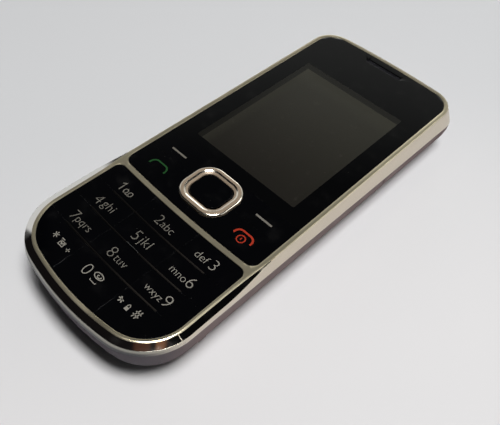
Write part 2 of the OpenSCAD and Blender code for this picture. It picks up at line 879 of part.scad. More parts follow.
module rear_chassis() {
    color("dimgray")
        difference() {
            union() {
                difference() {
                    lower_shell();
                    box(-body_w, body_w, foot_y - 1, cover_top_y + seat_gap, -1, cover_h);
                    box(half_w - 4, half_w + 1, door_y, door_y + door_l,
                        door_z - seat_gap, door_top_z + seat_gap);
                    translate([camera_xy.x, camera_xy.y, -1])
                        cylinder(r = camera_r + 1.32, h = 4);
                    translate([speaker_xy.x, speaker_xy.y, -1])
                        linear_extrude(4)
                            slot_row(5, 1.5, 8, 0.7);
                    rod_y(-port_x, port_z, top_y - 4, top_y + 1, audio_r + port_lip);
                    rod_y(port_x, port_z, top_y - 4, top_y + 1, charge_r + port_lip);
                    box(-data_w / 2 - 0.3, data_w / 2 + 0.3, top_y - 4, top_y + 1,
                        data_z - 0.2, data_z + data_h + 0.2);
                    rod(pivot_xy.x, pivot_xy.y, door_z - 0.6, door_top_z + 0.5, pivot_r + 0.03);
                }
                difference() {
                    intersection() {
                        plate(face_path(0), wall + 0.2, tray_z, tray_z + tray_t);
                        box(-body_w, body_w, battery_foot_y, tray_top_y, 0, front_z);
                    }
                    sim_area(sim_frame + 0.4, 0, front_z);
                }
                for (s = [0, 1])
                    mirror([s, 0, 0]) {
                        box(battery_w / 2 + 0.15, battery_w / 2 + 0.75,
                            battery_foot_y + 5, tray_top_y, cover_h + 0.6, tray_z + eps);
                        for (y = screw_y)
                            box(screw_x, half_w - wall + 0.3, y - rib_t, y + rib_t,
                                head_z + eps, tray_z + tray_t);
                    }
                each_screw()
                    rod(0, 0, head_z, tray_z + tray_t, boss_r);
            }
            each_screw() {
                rod(0, 0, 0, front_z, screw_r + 0.05);
                rod(0, 0, 0, head_z, screw_r + 0.7);
            }
        }
}

module antenna() {
    foot = antenna_top_y - antenna_l;
    color("peru")
        difference() {
            box(-antenna_w / 2, antenna_w / 2, foot, antenna_top_y, back_floor, back_floor + 0.2);
            box(-antenna_w / 2 + 4, antenna_w / 2 - 4, foot + 1.1, antenna_top_y - 1.1, 0, front_z);
        }
}

module rear_cover() {
    color("dimgray") {
        intersection() {
            lower_shell();
            box(-body_w, body_w, foot_y - 1, cover_top_y, -1, cover_h - seat_gap);
        }
        for (x = [-12, 8]) {
            box(x, x + 4, cover_top_y - 4, cover_top_y, back_floor - eps, back_floor + 0.7);
            box(x, x + 4, cover_top_y - eps, cover_top_y + 2.2, back_floor + seat_gap, back_floor + 0.7);
        }
    }
}

module card_door() {
    color("dimgray") {
        intersection() {
            lower_shell();
            box(half_w - 4, half_w + 1, pivot_xy.y, door_y + door_l - key_gap, door_z, door_top_z);
        }
        rod(pivot_xy.x, pivot_xy.y, door_z - 0.5, door_top_z + 0.4, pivot_r);
    }
}

module housing_screws() {
    color("silver")
        each_screw() {
            rod(0, 0, head_z - 1.1, head_z, screw_r + 0.6);
            rod(0, 0, head_z - eps, web_z - 0.6, screw_r - 0.02);
        }
}

front_frame();
keypad_trim();
display_window();
window_tape();
earpiece_mesh();
earpiece();
number_key(0, 0);  // key_1
number_key(1, 0);  // key_2
number_key(2, 0);  // key_3
number_key(0, 1);  // key_4
number_key(1, 1);  // key_5
number_key(2, 1);  // key_6
number_key(0, 2);  // key_7
number_key(1, 2);  // key_8
number_key(2, 2);  // key_9
number_key(0, 3);  // key_star
number_key(1, 3);  // key_0
number_key(2, 3);  // key_hash
function_key(-1, true);  // left_soft_key
function_key(1, true);  // right_soft_key
function_key(-1, false);  // call_key
function_key(1, false);  // end_key
select_key();
nav_ring();
nav_pad();
row_ribs();
keypad_web();
dome_sheet();
key_domes();
lcd_panel();
lcd_frame();
lcd_ribbon();
main_board();
baseband_shield();
radio_shield();
microphone();
loudspeaker();
vibration_motor();
vibration_weight();
camera_module();
camera_window();
camera_trim();
audio_jack();
charging_socket();
data_socket();
sim_holder();
sim_card();
card_holder();
battery_connector();
battery();
rear_chassis();
antenna();
rear_cover();
card_door();
housing_screws();
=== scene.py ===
# %% [markdown]
# # A candybar phone, dressed around its CAD frame
#
# The CAD model fixes every size and every moving body. This lesson gives each visible piece its real
# edges and finish. Sizes are written in millimetres, as on a drawing, and become metres when a mesh is
# made.

# %% Load the frame
import math

import bmesh
import bpy
import numpy as np
from mathutils import Matrix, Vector
from mathutils.geometry import delaunay_2d_cdt


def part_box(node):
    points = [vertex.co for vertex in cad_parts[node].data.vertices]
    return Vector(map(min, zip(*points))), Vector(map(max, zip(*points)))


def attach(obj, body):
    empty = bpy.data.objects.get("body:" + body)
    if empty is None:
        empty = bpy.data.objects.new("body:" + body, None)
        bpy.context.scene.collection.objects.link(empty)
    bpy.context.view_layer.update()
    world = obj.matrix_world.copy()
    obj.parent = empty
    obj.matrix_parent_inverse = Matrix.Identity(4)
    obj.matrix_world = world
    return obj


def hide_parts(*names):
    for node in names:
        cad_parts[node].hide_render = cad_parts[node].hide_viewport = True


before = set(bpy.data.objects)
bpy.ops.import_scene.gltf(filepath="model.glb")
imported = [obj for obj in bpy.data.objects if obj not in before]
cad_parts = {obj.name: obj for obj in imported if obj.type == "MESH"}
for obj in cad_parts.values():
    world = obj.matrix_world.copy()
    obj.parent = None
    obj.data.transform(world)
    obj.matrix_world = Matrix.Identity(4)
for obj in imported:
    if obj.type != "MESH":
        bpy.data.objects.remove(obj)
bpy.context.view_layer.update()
MM = 0.001

# %% [markdown]
# ## Camera
#
# The photograph's own outlines gave the lens, the place and the turn of the camera, so the phone falls on
# the same pixels. A matrix of right, up and back directions holds the turn with its slight roll; aiming
# at a point would lose the roll. The small shift is the photograph's framing.

# %% Camera
camera = bpy.data.objects.new("camera", bpy.data.cameras.new("camera"))
bpy.context.scene.collection.objects.link(camera)
camera.data.sensor_width = 36
camera.data.lens = 41.13
camera.data.shift_x, camera.data.shift_y = 0.0115, -0.0021
camera.data.clip_start = 0.005
turn = Matrix(((0.70764, -0.57752, 0.40709), (0.70464, 0.53416, -0.46707), (0.05229, 0.61737, 0.78494)))
camera.matrix_world = Matrix.Translation((59.51 * MM, -71.57 * MM, 110.86 * MM)) @ turn.to_4x4()
bpy.context.scene.camera = camera
bpy.context.scene.view_settings.view_transform = "Standard"
print("camera distance from the middle, mm:", round(camera.location.length / MM, 1))

# %% [markdown]
# ## Node trees as sums
#
# A finish is easier to read as a sum, such as `1 - dust * 0.3`, than as a list of links. `Signal` wraps a
# socket and gives it Python's operators, and `Tree.add` makes any other node. The same two classes build
# the Geometry Nodes.


# %% Signal and Tree
class Signal:
    """A node's output that can be used in sums."""

    def __init__(self, tree, socket):
        self.tree, self.socket = tree, socket

    def maths(self, operation, *terms):
        return self.tree.add(self.tree.maths_node, {"operation": operation}, dict(enumerate(terms)))

    def __add__(self, other):
        return self.maths("ADD", self, other)

    def __sub__(self, other):
        return self.maths("SUBTRACT", self, other)

    def __rsub__(self, other):
        return self.maths("SUBTRACT", other, self)

    def __mul__(self, other):
        return self.maths("MULTIPLY", self, other)

    def __truediv__(self, other):
        return self.maths("DIVIDE", self, other)

    def __pow__(self, other):
        return self.maths("POWER", self, other)

    __radd__, __rmul__ = __add__, __mul__

    def ramp(self, low, high):
        """0 below low, 1 above high, with a soft rise between them."""
        sockets = {"Value": self, "From Min": low, "From Max": high}
        return self.tree.add("ShaderNodeMapRange", {"interpolation_type": "SMOOTHSTEP"}, sockets)


class Tree:
    """Nodes of one material, world or Geometry Nodes group."""

    maths_node = "ShaderNodeMath"

    def __init__(self, nodes):
        self.nodes = nodes

    def add(self, kind, settings=None, sockets=None, output=0):
        node = self.nodes.nodes.new(kind)
        for key, value in (settings or {}).items():
            setattr(node, key, value)
        self.feed(node, sockets or {})
        return Signal(self, node.outputs[output])

    def feed(self, node, sockets):
        for key, value in sockets.items():
            socket = node.inputs[key]
            if isinstance(value, Signal):
                self.nodes.links.new(value.socket, socket)
            elif socket.type == "RGBA" and len(value) == 3:
                socket.default_value = (*value, 1)
            else:
                socket.default_value = value

    def split(self, vector):
        """The x, y and z of a vector."""
        node = self.nodes.nodes.new("ShaderNodeSeparateXYZ")
        self.feed(node, {0: vector})
        return [Signal(self, socket) for socket in node.outputs]


class Finish(Tree):
    """A material around one Principled shader, patterned in Object coordinates."""

    def __init__(self, name, **sockets):
        self.material = bpy.data.materials.new(name)
        self.material.use_nodes = True
        super().__init__(self.material.node_tree)
        self.shader = self.nodes.nodes["Principled BSDF"]
        self.place = self.add("ShaderNodeTexCoord", output="Object")
        self.set(**sockets)

    def set(self, **sockets):
        self.feed(self.shader, {key.replace("_", " "): value for key, value in sockets.items()})
        return self

    def axes(self):
        """The x, y and z of the shaded point, in millimetres."""
        return [axis / MM for axis in self.split(self.place)]

    def noise(self, size, detail=3):
        """Cloudy pattern whose blotches are about size millimetres across."""
        sockets = {"Vector": self.place, "Scale": 1 / (size * MM), "Detail": detail}
        return self.add("ShaderNodeTexNoise", sockets=sockets)

    def specks(self, spacing, size, share):
        """Round specks of a size, in a share of the cells of a loose grid, all in millimetres."""
        sockets = {"Vector": self.place, "Scale": 1 / (spacing * MM), "Randomness": 1}
        near = self.add("ShaderNodeTexVoronoi", sockets=sockets)
        cell = self.add("ShaderNodeTexVoronoi", sockets=sockets, output="Color")
        chosen = self.add("ShaderNodeSeparateColor", sockets={"Color": cell})
        return (1 - near.ramp(size / spacing / 2, size / spacing)) * (1 - chosen.ramp(share, share + 0.01))

    def mix(self, share, first, second):
        return self.add("ShaderNodeMix", {"data_type": "RGBA"}, {0: share, 6: first, 7: second}, 2)

    def bump(self, height, depth):
        """Surface relief; depth is in millimetres."""
        return self.add("ShaderNodeBump", sockets={"Height": height, "Distance": depth * MM, "Strength": 1})


# %% [markdown]
# ## Finishes that show in the front
#
# The frame is plastic with a satin metal coat: fine flakes glitter, and the coat is duller where hands
# rub. Its flat top is given a yellower tone than its sides, a painted reflection, and at the foot its
# side strip is painted darker, as painted shade that deepens to near black at its lower edge. The trim at
# the foot is a mirror with faint smears, darkened at its thin tips by painted shade and duller there. The
# keys and the window border are polished black, which only shows through its gloss, its dust and its
# finger marks.

# %% Metal finishes
satin = Finish("satin_metal_coat", Metallic=0.9)
flakes = satin.noise(0.12, 2)
variation = satin.noise(9, 4).ramp(0.45, 0.75)
satin_x, satin_y, satin_z = satin.axes()
handled = satin_x.ramp(4, 12) * (1 - satin_y.ramp(-48, -41))
land = satin_z.ramp(13.40, 13.52)
# Painted shade: at the foot the side strip below the flat top is darker, nearly black under 12 mm.
foot = (1 - (satin_y + satin_x * 0.12).ramp(-49, -38)) * (1 - land)
foot_strip_shade = satin.mix(satin_z.ramp(12.0, 12.8), (0.055, 0.055, 0.058), (0.32, 0.31, 0.27))
coat = satin.mix(flakes.ramp(0.3, 0.7), (0.61, 0.545, 0.44), (0.675, 0.605, 0.50))
# Painted reflection: the flat top gets a yellower tone than the sides.
coat = satin.mix(land, coat, (0.70, 0.625, 0.44))
satin.set(
    Base_Color=satin.mix(foot, coat, foot_strip_shade),
    Roughness=0.29 + variation * 0.09 - handled * 0.13,
    Normal=satin.bump(flakes, 0.0015),
)

mirror = Finish("mirror_trim", Metallic=1.0)
# Painted shade: the trim's thin tips are darkened.
tip_shade = mirror.axes()[1].ramp(-28.5, -24.5)
mirror.set(
    Base_Color=mirror.mix(tip_shade, (0.8, 0.79, 0.77), (0.09, 0.085, 0.07)),
    Roughness=0.05 + mirror.noise(4, 4).ramp(0.5, 0.8) * 0.07 + tip_shade * 0.1,
)

ring_metal = Finish("ring_metal", Metallic=0.2, Specular_IOR_Level=0.3)
ring_metal.set(
    Base_Color=ring_metal.mix(ring_metal.noise(3, 3), (0.300, 0.232, 0.165), (0.345, 0.265, 0.190)),
    Roughness=0.3 + ring_metal.noise(2) * 0.08,
)
ring_polish = Finish("ring_polish", Metallic=1.0, Base_Color=(0.82, 0.76, 0.65))
ring_polish.set(Roughness=0.15 + ring_polish.noise(1.5).ramp(0.4, 0.8) * 0.05)
print("metal finishes:", satin.material.name, mirror.material.name, ring_metal.material.name)

# %% Black finishes
def polished_black(name, colour, gloss):
    """Piano black with dust and finger marks."""
    black = Finish(name, Specular_IOR_Level=0.5, IOR=1.49)
    dust = black.specks(1.7, 0.07, 0.18) * 0.2
    smear = black.noise(5, 5).ramp(0.52, 0.78)
    black.set(
        Base_Color=black.mix(dust + smear * 0.003, colour, (0.45, 0.42, 0.38)),
        Roughness=gloss + smear * 0.13 + dust * 0.5,
    )
    return black


key_black = polished_black("key_black", (0.0005, 0.0005, 0.0009), 0.07)
window_black = polished_black("window_black", (0.0008, 0.0008, 0.0010), 0.05)
print("black finishes:", key_black.material.name, window_black.material.name)

# %% [markdown]
# The window is clear plastic. A refracting solid would keep lamp light from reaching the display under
# it, so the pane is a clear sheet with a mirror gloss on top: a Mix Shader lets through what Fresnel
# doesn't reflect.

# %% Clear window
clear = Finish("clear_window", Metallic=1.0, Base_Color=(1, 1, 1))
clear.set(Roughness=0.025 + clear.noise(6, 5).ramp(0.5, 0.8) * 0.05)
see_through = clear.add("ShaderNodeBsdfTransparent", sockets={"Color": (0.97, 0.97, 0.965)})
grazing = clear.add("ShaderNodeLayerWeight", sockets={"Blend": 0.5}, output="Facing")
reflecting = 0.04 + grazing**5 * 0.96
pane_shader = clear.add("ShaderNodeMixShader", sockets={0: reflecting, 1: see_through})
clear.nodes.links.new(clear.shader.outputs[0], pane_shader.socket.node.inputs[2])
clear.nodes.links.new(pane_shader.socket, clear.nodes.nodes["Material Output"].inputs["Surface"])

display = Finish("display_off", Specular_IOR_Level=0.12)
stripes = {"Vector": display.place, "Scale": 1600.0}
columns = display.add("ShaderNodeTexWave", {"bands_direction": "X"}, stripes)
dust = display.specks(1.3, 0.1, 0.3) + display.noise(2.5, 5).ramp(0.6, 0.85) * 0.25
width, length, _ = display.axes()
# Painted light: the field is lighter towards the top.
painted_light_tone = display.mix(length.ramp(-20, 50), (0.0084, 0.0068, 0.0052), (0.0290, 0.0281, 0.0212))
# Painted light near the top and left edges, which lifts the shade that the border casts there.
painted_edge_light = length.ramp(29, 36) * 0.6 + (1 - width.ramp(-15.5, -11.5)) * 0.4
painted_light_tone = display.mix(painted_edge_light, painted_light_tone, (0.042, 0.041, 0.031))
display.set(
    Base_Color=display.mix(dust * 0.2, painted_light_tone, (0.23, 0.205, 0.18)),
    Roughness=0.42 + columns * 0.05,
)
display_edge = Finish("display_edge", Specular_IOR_Level=0.0, Emission_Strength=1.0)
# Painted glow: emission that stands in for light the pane scatters into the shade under the border.
painted_glow = display_edge.axes()[1].ramp(0, 34)
display_edge.set(
    Base_Color=display_edge.mix(display_edge.noise(1), (0.0012, 0.0012, 0.0012), (0.0020, 0.0020, 0.0019)),
    Emission_Color=display_edge.mix(painted_glow, (0.0088, 0.0082, 0.0066), (0.0140, 0.0136, 0.0114)),
)
print("window finishes:", clear.material.name, display.material.name)

# %% [markdown]
# ## Outlines
#
# The front of the phone is drawn from tangent arcs: a gently arched end, tight upper corners and wide
# lower ones. Each outline is a list of points with outward normals, so stepping inwards keeps the arcs
# concentric.

# %% Outline of the body
BODY_L, HALF_W = 109.6, 23.0
TOP_Y, FOOT_Y = BODY_L / 2, -BODY_L / 2
TOP_ARCH_R, FOOT_ARCH_R, FOOT_CORNER_R = 260.0, 70.0, 12.6
FACE_CORNER_R, BAND_CORNER_R = 7.7, 5.6
FOOT_TAPER, FOOT_LIP = 0.3, 0.2
SIDE_STEPS = 90


def arc(x, y, r, start, end, steps):
    a = np.radians(np.linspace(start, end, steps, endpoint=False))
    return np.column_stack([x + r * np.cos(a), y + r * np.sin(a), np.cos(a), np.sin(a)])


def corner_centre(w, r, end_y, arch_r):
    """Centre of a corner arc, measured from the end, that touches the side w and the arched end."""
    return w - r, end_y - arch_r + math.sqrt((arch_r - r) ** 2 - (w - r) ** 2)


def body_outline(foot_w, foot_y, top_r):
    top_x, top_c = corner_centre(HALF_W, top_r, TOP_Y, TOP_ARCH_R)
    foot_x, foot_c = corner_centre(foot_w, FOOT_CORNER_R, -foot_y, FOOT_ARCH_R)
    foot_c = -foot_c
    top_turn = math.degrees(math.atan2(top_c - TOP_Y + TOP_ARCH_R, top_x))
    foot_turn = math.degrees(math.atan2(foot_y + FOOT_ARCH_R - foot_c, foot_x))

    def side(start, end, way):
        y = np.linspace(start, end, SIDE_STEPS, endpoint=False)
        x = foot_w + (HALF_W - foot_w) * (y - foot_c) / (top_c - foot_c)
        return np.column_stack([way * x, y, np.full(SIDE_STEPS, way), np.zeros(SIDE_STEPS)])

    return np.vstack([
        side(foot_c, top_c, 1),
        arc(top_x, top_c, top_r, 0, top_turn, 18),
        arc(0, TOP_Y - TOP_ARCH_R, TOP_ARCH_R, top_turn, 180 - top_turn, 16),
        arc(-top_x, top_c, top_r, 180 - top_turn, 180, 18),
        side(top_c, foot_c, -1),
        arc(-foot_x, foot_c, FOOT_CORNER_R, 180, 180 + foot_turn, 30),
        arc(0, foot_y + FOOT_ARCH_R, FOOT_ARCH_R, 180 + foot_turn, 360 - foot_turn, 30),
        arc(foot_x, foot_c, FOOT_CORNER_R, 360 - foot_turn, 360, 30),
    ])


face = body_outline(HALF_W, FOOT_Y + FOOT_LIP, FACE_CORNER_R)
body = body_outline(HALF_W - FOOT_TAPER, FOOT_Y, BAND_CORNER_R)
print("points in an outline:", len(face), len(body))

# %% Rings and skins
def ring(path, inset, z):
    """Points of a path moved inwards, at a height; inset and z are numbers or one value per point."""
    inset = np.broadcast_to(inset, len(path))
    z = np.broadcast_to(z, len(path))
    return np.column_stack([path[:, 0] - inset * path[:, 2], path[:, 1] - inset * path[:, 3], z])


def add_ring(bm, points):
    return [bm.verts.new(p * MM) for p in points]


def join_rings(bm, low, high, closed=True):
    """Faces between two rings of vertices; seen from outside, high lies above low."""
    count = len(low)
    for i in range(count if closed else count - 1):
        j = (i + 1) % count
        bm.faces.new((low[i], low[j], high[j], high[i]))


def skin(bm, rings):
    """Joins rings of points, each to the next, and returns their vertices."""
    loops = [add_ring(bm, points) for points in rings]
    for low, high in zip(loops, loops[1:]):
        join_rings(bm, low, high)
    return loops


def fill_between(bm, outer, holes, up=True):
    """Faces between a flat outer loop of vertices and the loops of its holes."""
    verts = [v for loop in [outer, *holes] for v in loop]
    loops, start = [], 0
    for loop in [outer, *holes]:
        loops.append(list(range(start, start + len(loop))))
        start += len(loop)
    points = [(v.co / MM).to_2d() for v in verts]
    pieces = delaunay_2d_cdt(points, [], loops, 1, 1e-6)
    origin = [ids[0] for ids in pieces[3]]
    made = []
    for corners, inside_of in zip(pieces[2], pieces[5]):
        if inside_of == [0]:
            corners = [verts[origin[i]] for i in corners]
            made.append(bm.faces.new(corners if up else corners[::-1]))
    return made


def make_piece(name, bm, finish, body_name, replaced=(), sharp=35):
    """Turns a bmesh into a piece that rides on a body."""
    mesh = bpy.data.meshes.new(name)
    bm.to_mesh(mesh)
    bm.free()
    return dress_piece(name, mesh, finish, body_name, replaced, sharp)


def dress_piece(name, mesh, finish, body_name, replaced=(), sharp=35):
    """Gives a finished mesh its shading, finish, body and the nodes that it stands for."""
    mesh.shade_smooth()
    mesh.set_sharp_from_angle(angle=math.radians(sharp))
    if not mesh.materials:
        for one in finish if isinstance(finish, (list, tuple)) else [finish]:
            mesh.materials.append(one.material)
    piece = bpy.data.objects.new(name, mesh)
    bpy.context.scene.collection.objects.link(piece)
    piece.modifiers.new("even shading", "WEIGHTED_NORMAL").keep_sharp = True
    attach(piece, body_name)
    if replaced:
        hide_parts(*replaced)
    return piece


print("helpers for rings ready")

# %% [markdown]
# ## Front frame
#
# One satin moulding: a leaning side band, a fine groove, a narrow, slightly crowned rim and the bar
# between display and keypad. The CAD solid has it in flat facets. Here the same profile runs round the
# outline in fine steps, with rounded rim edges that catch the light, and the flat top is filled between
# the rim and the two openings.

# %% Heights along the frame
FRONT_Z = 13.6
SEAM_TOP_Z, SEAM_FOOT_Z = 8.7, 11.6
BAND_LEAN, STRIP_LEAN = 1.15, 0.25
RIM_STEP, TRIM_H = 0.25, 0.44
RIM_EDGE, RIM_EDGE_FOOT = 1.25, 1.7
WINDOW_INSET, PAD_INSET = 2.3, 2.5
DIVIDER_Y, DIVIDER_W, ROW_SAG = -23.62, 1.2, 0.45
WINDOW_CORNER_R, PAD_CORNER_R = 2.2, 1.8
TRIM_START_Y, TRIM_FULL_Y = -16.5, -32.0
SAG_X = 17.0  # ROW_SAG is the rise this far from the middle
FILLET_GAP = 0.5


def ease(t):
    t = np.clip(t, 0, 1)
    return t * t * (3 - 2 * t)


def trim_share(y):
    return ease((y - TRIM_START_Y) / (TRIM_FULL_Y - TRIM_START_Y))


def seam_z(y):
    return SEAM_TOP_Z + (SEAM_FOOT_Z - SEAM_TOP_Z) * (TOP_Y - y) / BODY_L


def row_sag(x):
    return ROW_SAG * (x / SAG_X) ** 2


share = trim_share(face[:, 1])
band_in = BAND_LEAN + (STRIP_LEAN - BAND_LEAN) * share
band_z = FRONT_Z - RIM_STEP - (TRIM_H - RIM_STEP) * share
rim_in = RIM_EDGE + (RIM_EDGE_FOOT - RIM_EDGE) * share
print("band top from", round(band_z.min(), 2), "to", round(band_z.max(), 2), "mm")

# %% Openings of the frame
def sagging_line(y, x_from, x_to, steps, up):
    """Points of a line that rises towards the sides, with normals up or down."""
    x = np.linspace(x_from, x_to, steps, endpoint=False)
    slope = 2 * ROW_SAG * x / SAG_X**2
    length = np.hypot(1, slope) * up
    return np.column_stack([x, y + row_sag(x), -slope / length, 1 / length])


def fillet_centre(side_x, r, y, up):
    """Centre and turn of the arc between a side and a sagging line; up is 1 if the arc lies above."""
    x, tilt = side_x - r, 0.0
    for _ in range(6):
        touch = x + up * r * math.sin(tilt)
        tilt = math.atan(2 * ROW_SAG * touch / SAG_X**2)
    return x, y + row_sag(touch) + up * r * math.cos(tilt), math.degrees(tilt), touch


def stepped_in(path, inset):
    """A path moved inwards, with its normals kept."""
    return path - np.column_stack([path[:, 2:] * inset, np.zeros((len(path), 2))])


def window_opening():
    side = HALF_W - WINDOW_INSET
    x, y, tilt, touch = fillet_centre(side, WINDOW_CORNER_R, DIVIDER_Y, 1)
    upper = stepped_in(face[face[:, 1] > y + FILLET_GAP], WINDOW_INSET)
    return np.vstack([
        arc(x, y, WINDOW_CORNER_R, -90 + tilt, 0, 12),
        upper,
        arc(-x, y, WINDOW_CORNER_R, 180, 270 - tilt, 12),
        sagging_line(DIVIDER_Y, -touch, touch, 40, -1),
    ])


def pad_opening():
    side = HALF_W - PAD_INSET
    x, y, tilt, touch = fillet_centre(side, PAD_CORNER_R, DIVIDER_Y - DIVIDER_W, -1)
    lower = stepped_in(face[face[:, 1] < y - FILLET_GAP], PAD_INSET)
    turn_at = int(np.argmax(lower[:, 0] < 0))
    return np.vstack([
        lower[:turn_at],
        arc(x, y, PAD_CORNER_R, 0, 90 + tilt, 12),
        sagging_line(DIVIDER_Y - DIVIDER_W, touch, -touch, 40, 1),
        arc(-x, y, PAD_CORNER_R, 90 - tilt, 180, 12),
        lower[turn_at:],
    ])


window_edge, pad_edge = window_opening(), pad_opening()
print("opening points:", len(window_edge), len(pad_edge))

# %% Build the front frame
SKIRT_IN, ROOF_Z, WALL_Z = 1.9, 11.7, 12.2
EDGE, ROLL = 0.07, 0.95
BAND_BULGE, CROWN = 0.05, 0.05
GROOVE_D, ROLL_TURN = 0.14, 32
ROLLED_FROM_Y, ROLLED_FROM_X = -19.0, -22.5
SOFT_CORNER_X, SOFT_CORNER_Y = -18.0, 52.5


def build_front_frame():
    bm = bmesh.new()
    seam = seam_z(body[:, 1])
    low_ring = ring(body, 0.0, seam)
    top_ring = ring(face, band_in, band_z)
    rings = [ring(face, SKIRT_IN, ROOF_Z), ring(body, SKIRT_IN, seam), ring(body, 0.1, seam)]
    for t in (0.015, 0.1, 0.3, 0.5, 0.7, 0.9, 0.985):
        p = low_ring + (top_ring - low_ring) * t
        p[:, :2] += face[:, 2:] * BAND_BULGE * 4 * t * (1 - t)
        rings.append(p)
    groove = GROOVE_D * (1 - share)
    rings += [ring(face, band_in + 0.04, band_z), ring(face, rim_in - 0.015, band_z - groove)]
    near_foot = ease((ROLLED_FROM_Y - face[:, 1]) / 5) * ease((face[:, 0] - ROLLED_FROM_X) / 9)
    off_corner = (face[:, 0] - SOFT_CORNER_X) ** 2 + (face[:, 1] - SOFT_CORNER_Y) ** 2
    rolled = np.maximum(near_foot, 0.6 * np.exp(-off_corner / 12))
    for u in np.linspace(0, 1, 7):
        steep, low = math.radians(90 * u), math.radians(ROLL_TURN * (1 - u))
        tight = EDGE * (1 - math.cos(steep)), EDGE * (1 - math.sin(steep))
        broad = ROLL * (math.sin(math.radians(ROLL_TURN)) - math.sin(low)), ROLL * (1 - math.cos(low))
        step, drop = (a + (b - a) * rolled for a, b in zip(tight, broad))
        rings.append(ring(face, rim_in + step, FRONT_Z - drop))
    rings.append(ring(face, rim_in + step + 0.06 + 0.34 * (1 - share), FRONT_Z))
    loops = skin(bm, rings)
    holes = []
    for path in (window_edge, pad_edge):
        top = FRONT_Z - CROWN * (1 - 0.7 * trim_share(path[:, 1]))
        inner = [ring(path, -0.03, top), ring(path, -0.01, top - 0.01), ring(path, 0, top - 0.03),
                 ring(path, 0, WALL_Z), ring(path, 0, ROOF_Z)]
        holes.append(skin(bm, inner)[0])
    fill_between(bm, loops[-1], holes)
    return make_piece("front_frame_satin", bm, satin, "phone", ["front_frame"], 50)


front_frame = build_front_frame()
print("front frame faces:", len(front_frame.data.polygons))

# %% [markdown]
# ## Mirror trim
#
# A bright strip starts beside the display and widens towards the foot. On the phone it is a plated
# moulding that snaps into a step of the frame. It is swept along the same outline, with a slightly
# rounded face, because a flat mirror would reflect one single tone.

# %% Build the trim
TRIM_DROP, TRIM_SWELL = 0.13, 0.004


def build_trim():
    inside = share > 0.02
    first = int(np.argmax(inside & ~np.roll(inside, 1)))
    path = np.roll(face, -first, axis=0)[: inside.sum()]
    width = trim_share(path[:, 1])
    low_in = BAND_LEAN + (STRIP_LEAN - BAND_LEAN) * width + 0.03
    low_z = FRONT_Z - RIM_STEP - (TRIM_H - RIM_STEP) * width + 0.02
    high_in = RIM_EDGE + (RIM_EDGE_FOOT - RIM_EDGE) * width
    bm = bmesh.new()
    loops = [add_ring(bm, ring(path, high_in - 0.01, low_z)), add_ring(bm, ring(path, low_in, low_z))]
    for t in (0.04, 0.12, 0.25, 0.4, 0.55, 0.7, 0.84, 0.94, 1.0):
        inset = low_in + (high_in - 0.01 - low_in) * t
        z = low_z + (FRONT_Z - 0.02 - TRIM_DROP * width - low_z) * t
        swell = TRIM_SWELL * width * 4 * t * (1 - t)
        loops.append(add_ring(bm, ring(path, inset - swell * 0.2, z + swell)))
    for low, high in zip(loops, loops[1:] + loops[:1]):
        join_rings(bm, low, high, closed=False)
    for end, order in ((0, 1), (-1, -1)):
        bm.faces.new([loop[end] for loop in loops[::order]])
    return make_piece("keypad_trim_mirror", bm, mirror, "phone", ["keypad_trim"], 50)


trim = build_trim()
print("trim faces:", len(trim.data.polygons))


# %% Joint of the trim
JOINT_X, JOINT_Y = 22.9, -43.3


def build_trim_joint():
    """A hair-wide bead where the trim's long side meets its foot."""
    near = int(np.argmin(np.hypot(face[:, 0] - JOINT_X, face[:, 1] - JOINT_Y)))
    out, spot = face[near, 2:], face[near, :2]
    side = np.array([-out[1], out[0]]) * 0.06
    bm = bmesh.new()
    ends = [(STRIP_LEAN + 0.05, FRONT_Z - TRIM_H + 0.04), (RIM_EDGE_FOOT - 0.03, FRONT_Z - TRIM_DROP)]
    low, high = ([[*(spot - out * inset + way * side), z + 0.015] for way in (-1, 1)] for inset, z in ends)
    bm.faces.new(add_ring(bm, np.array([low[0], low[1], high[1], high[0]])))
    return make_piece("trim_joint", bm, satin, "phone")


build_trim_joint()
print("trim joint at height", round(FRONT_Z - TRIM_H, 2))

# %% [markdown]
# ## Window and display
#
# The window is a clear plate with a black border, moulded in just under its top. Border and clear field
# are two materials on one mesh. The display lies well below. Its field is painted lighter towards the top,
# and lighter still near its top and left edges to lift the shade that the border casts there: painted
# light. The margin round its field is darker, with a painted glow: emission that stands in for the light
# that the pane scatters into the shade there.

# %% Loops of the window
WINDOW_TOP, WINDOW_BACK = 13.5, 12.45
SEAT_GAP = 0.08
EAR_Y, EAR_L, EAR_W = 49.9, 11.5, 1.3
CLEAR_FIELD = (-15.64, 15.64, -4.95, 36.3)
ACTIVE_FIELD = (-15.15, 15.15, -4.9, 35.85)
TAPE_OPENING = (-16.8, 16.8, -6.0, 38.0)
PANE_FOOT_X = 20.7


def round_box(x0, x1, y0, y1, r, steps=8):
    """Outline of a rectangle with round corners, with normals."""
    corners = ((x1 - r, y0 + r, -90), (x1 - r, y1 - r, 0), (x0 + r, y1 - r, 90), (x0 + r, y0 + r, 180))
    return np.vstack([arc(x, y, r, start, start + 90 + 1e-6, steps + 1) for x, y, start in corners])


opening = round_box(*CLEAR_FIELD, 0.4)
ear_slot = round_box(-EAR_L / 2, EAR_L / 2, EAR_Y - EAR_W / 2, EAR_Y + EAR_W / 2, EAR_W / 2 - 0.001)
FUNCTION_Y = -8.69
pane_foot = np.array([[x, FUNCTION_Y, 0.0, -1.0] for x in np.linspace(-PANE_FOOT_X, PANE_FOOT_X, 30)])
pane_edge = np.vstack([pane_foot, stepped_in(face[face[:, 1] > FUNCTION_Y + 0.02], WINDOW_INSET)])
print("pane outline points:", len(pane_edge))

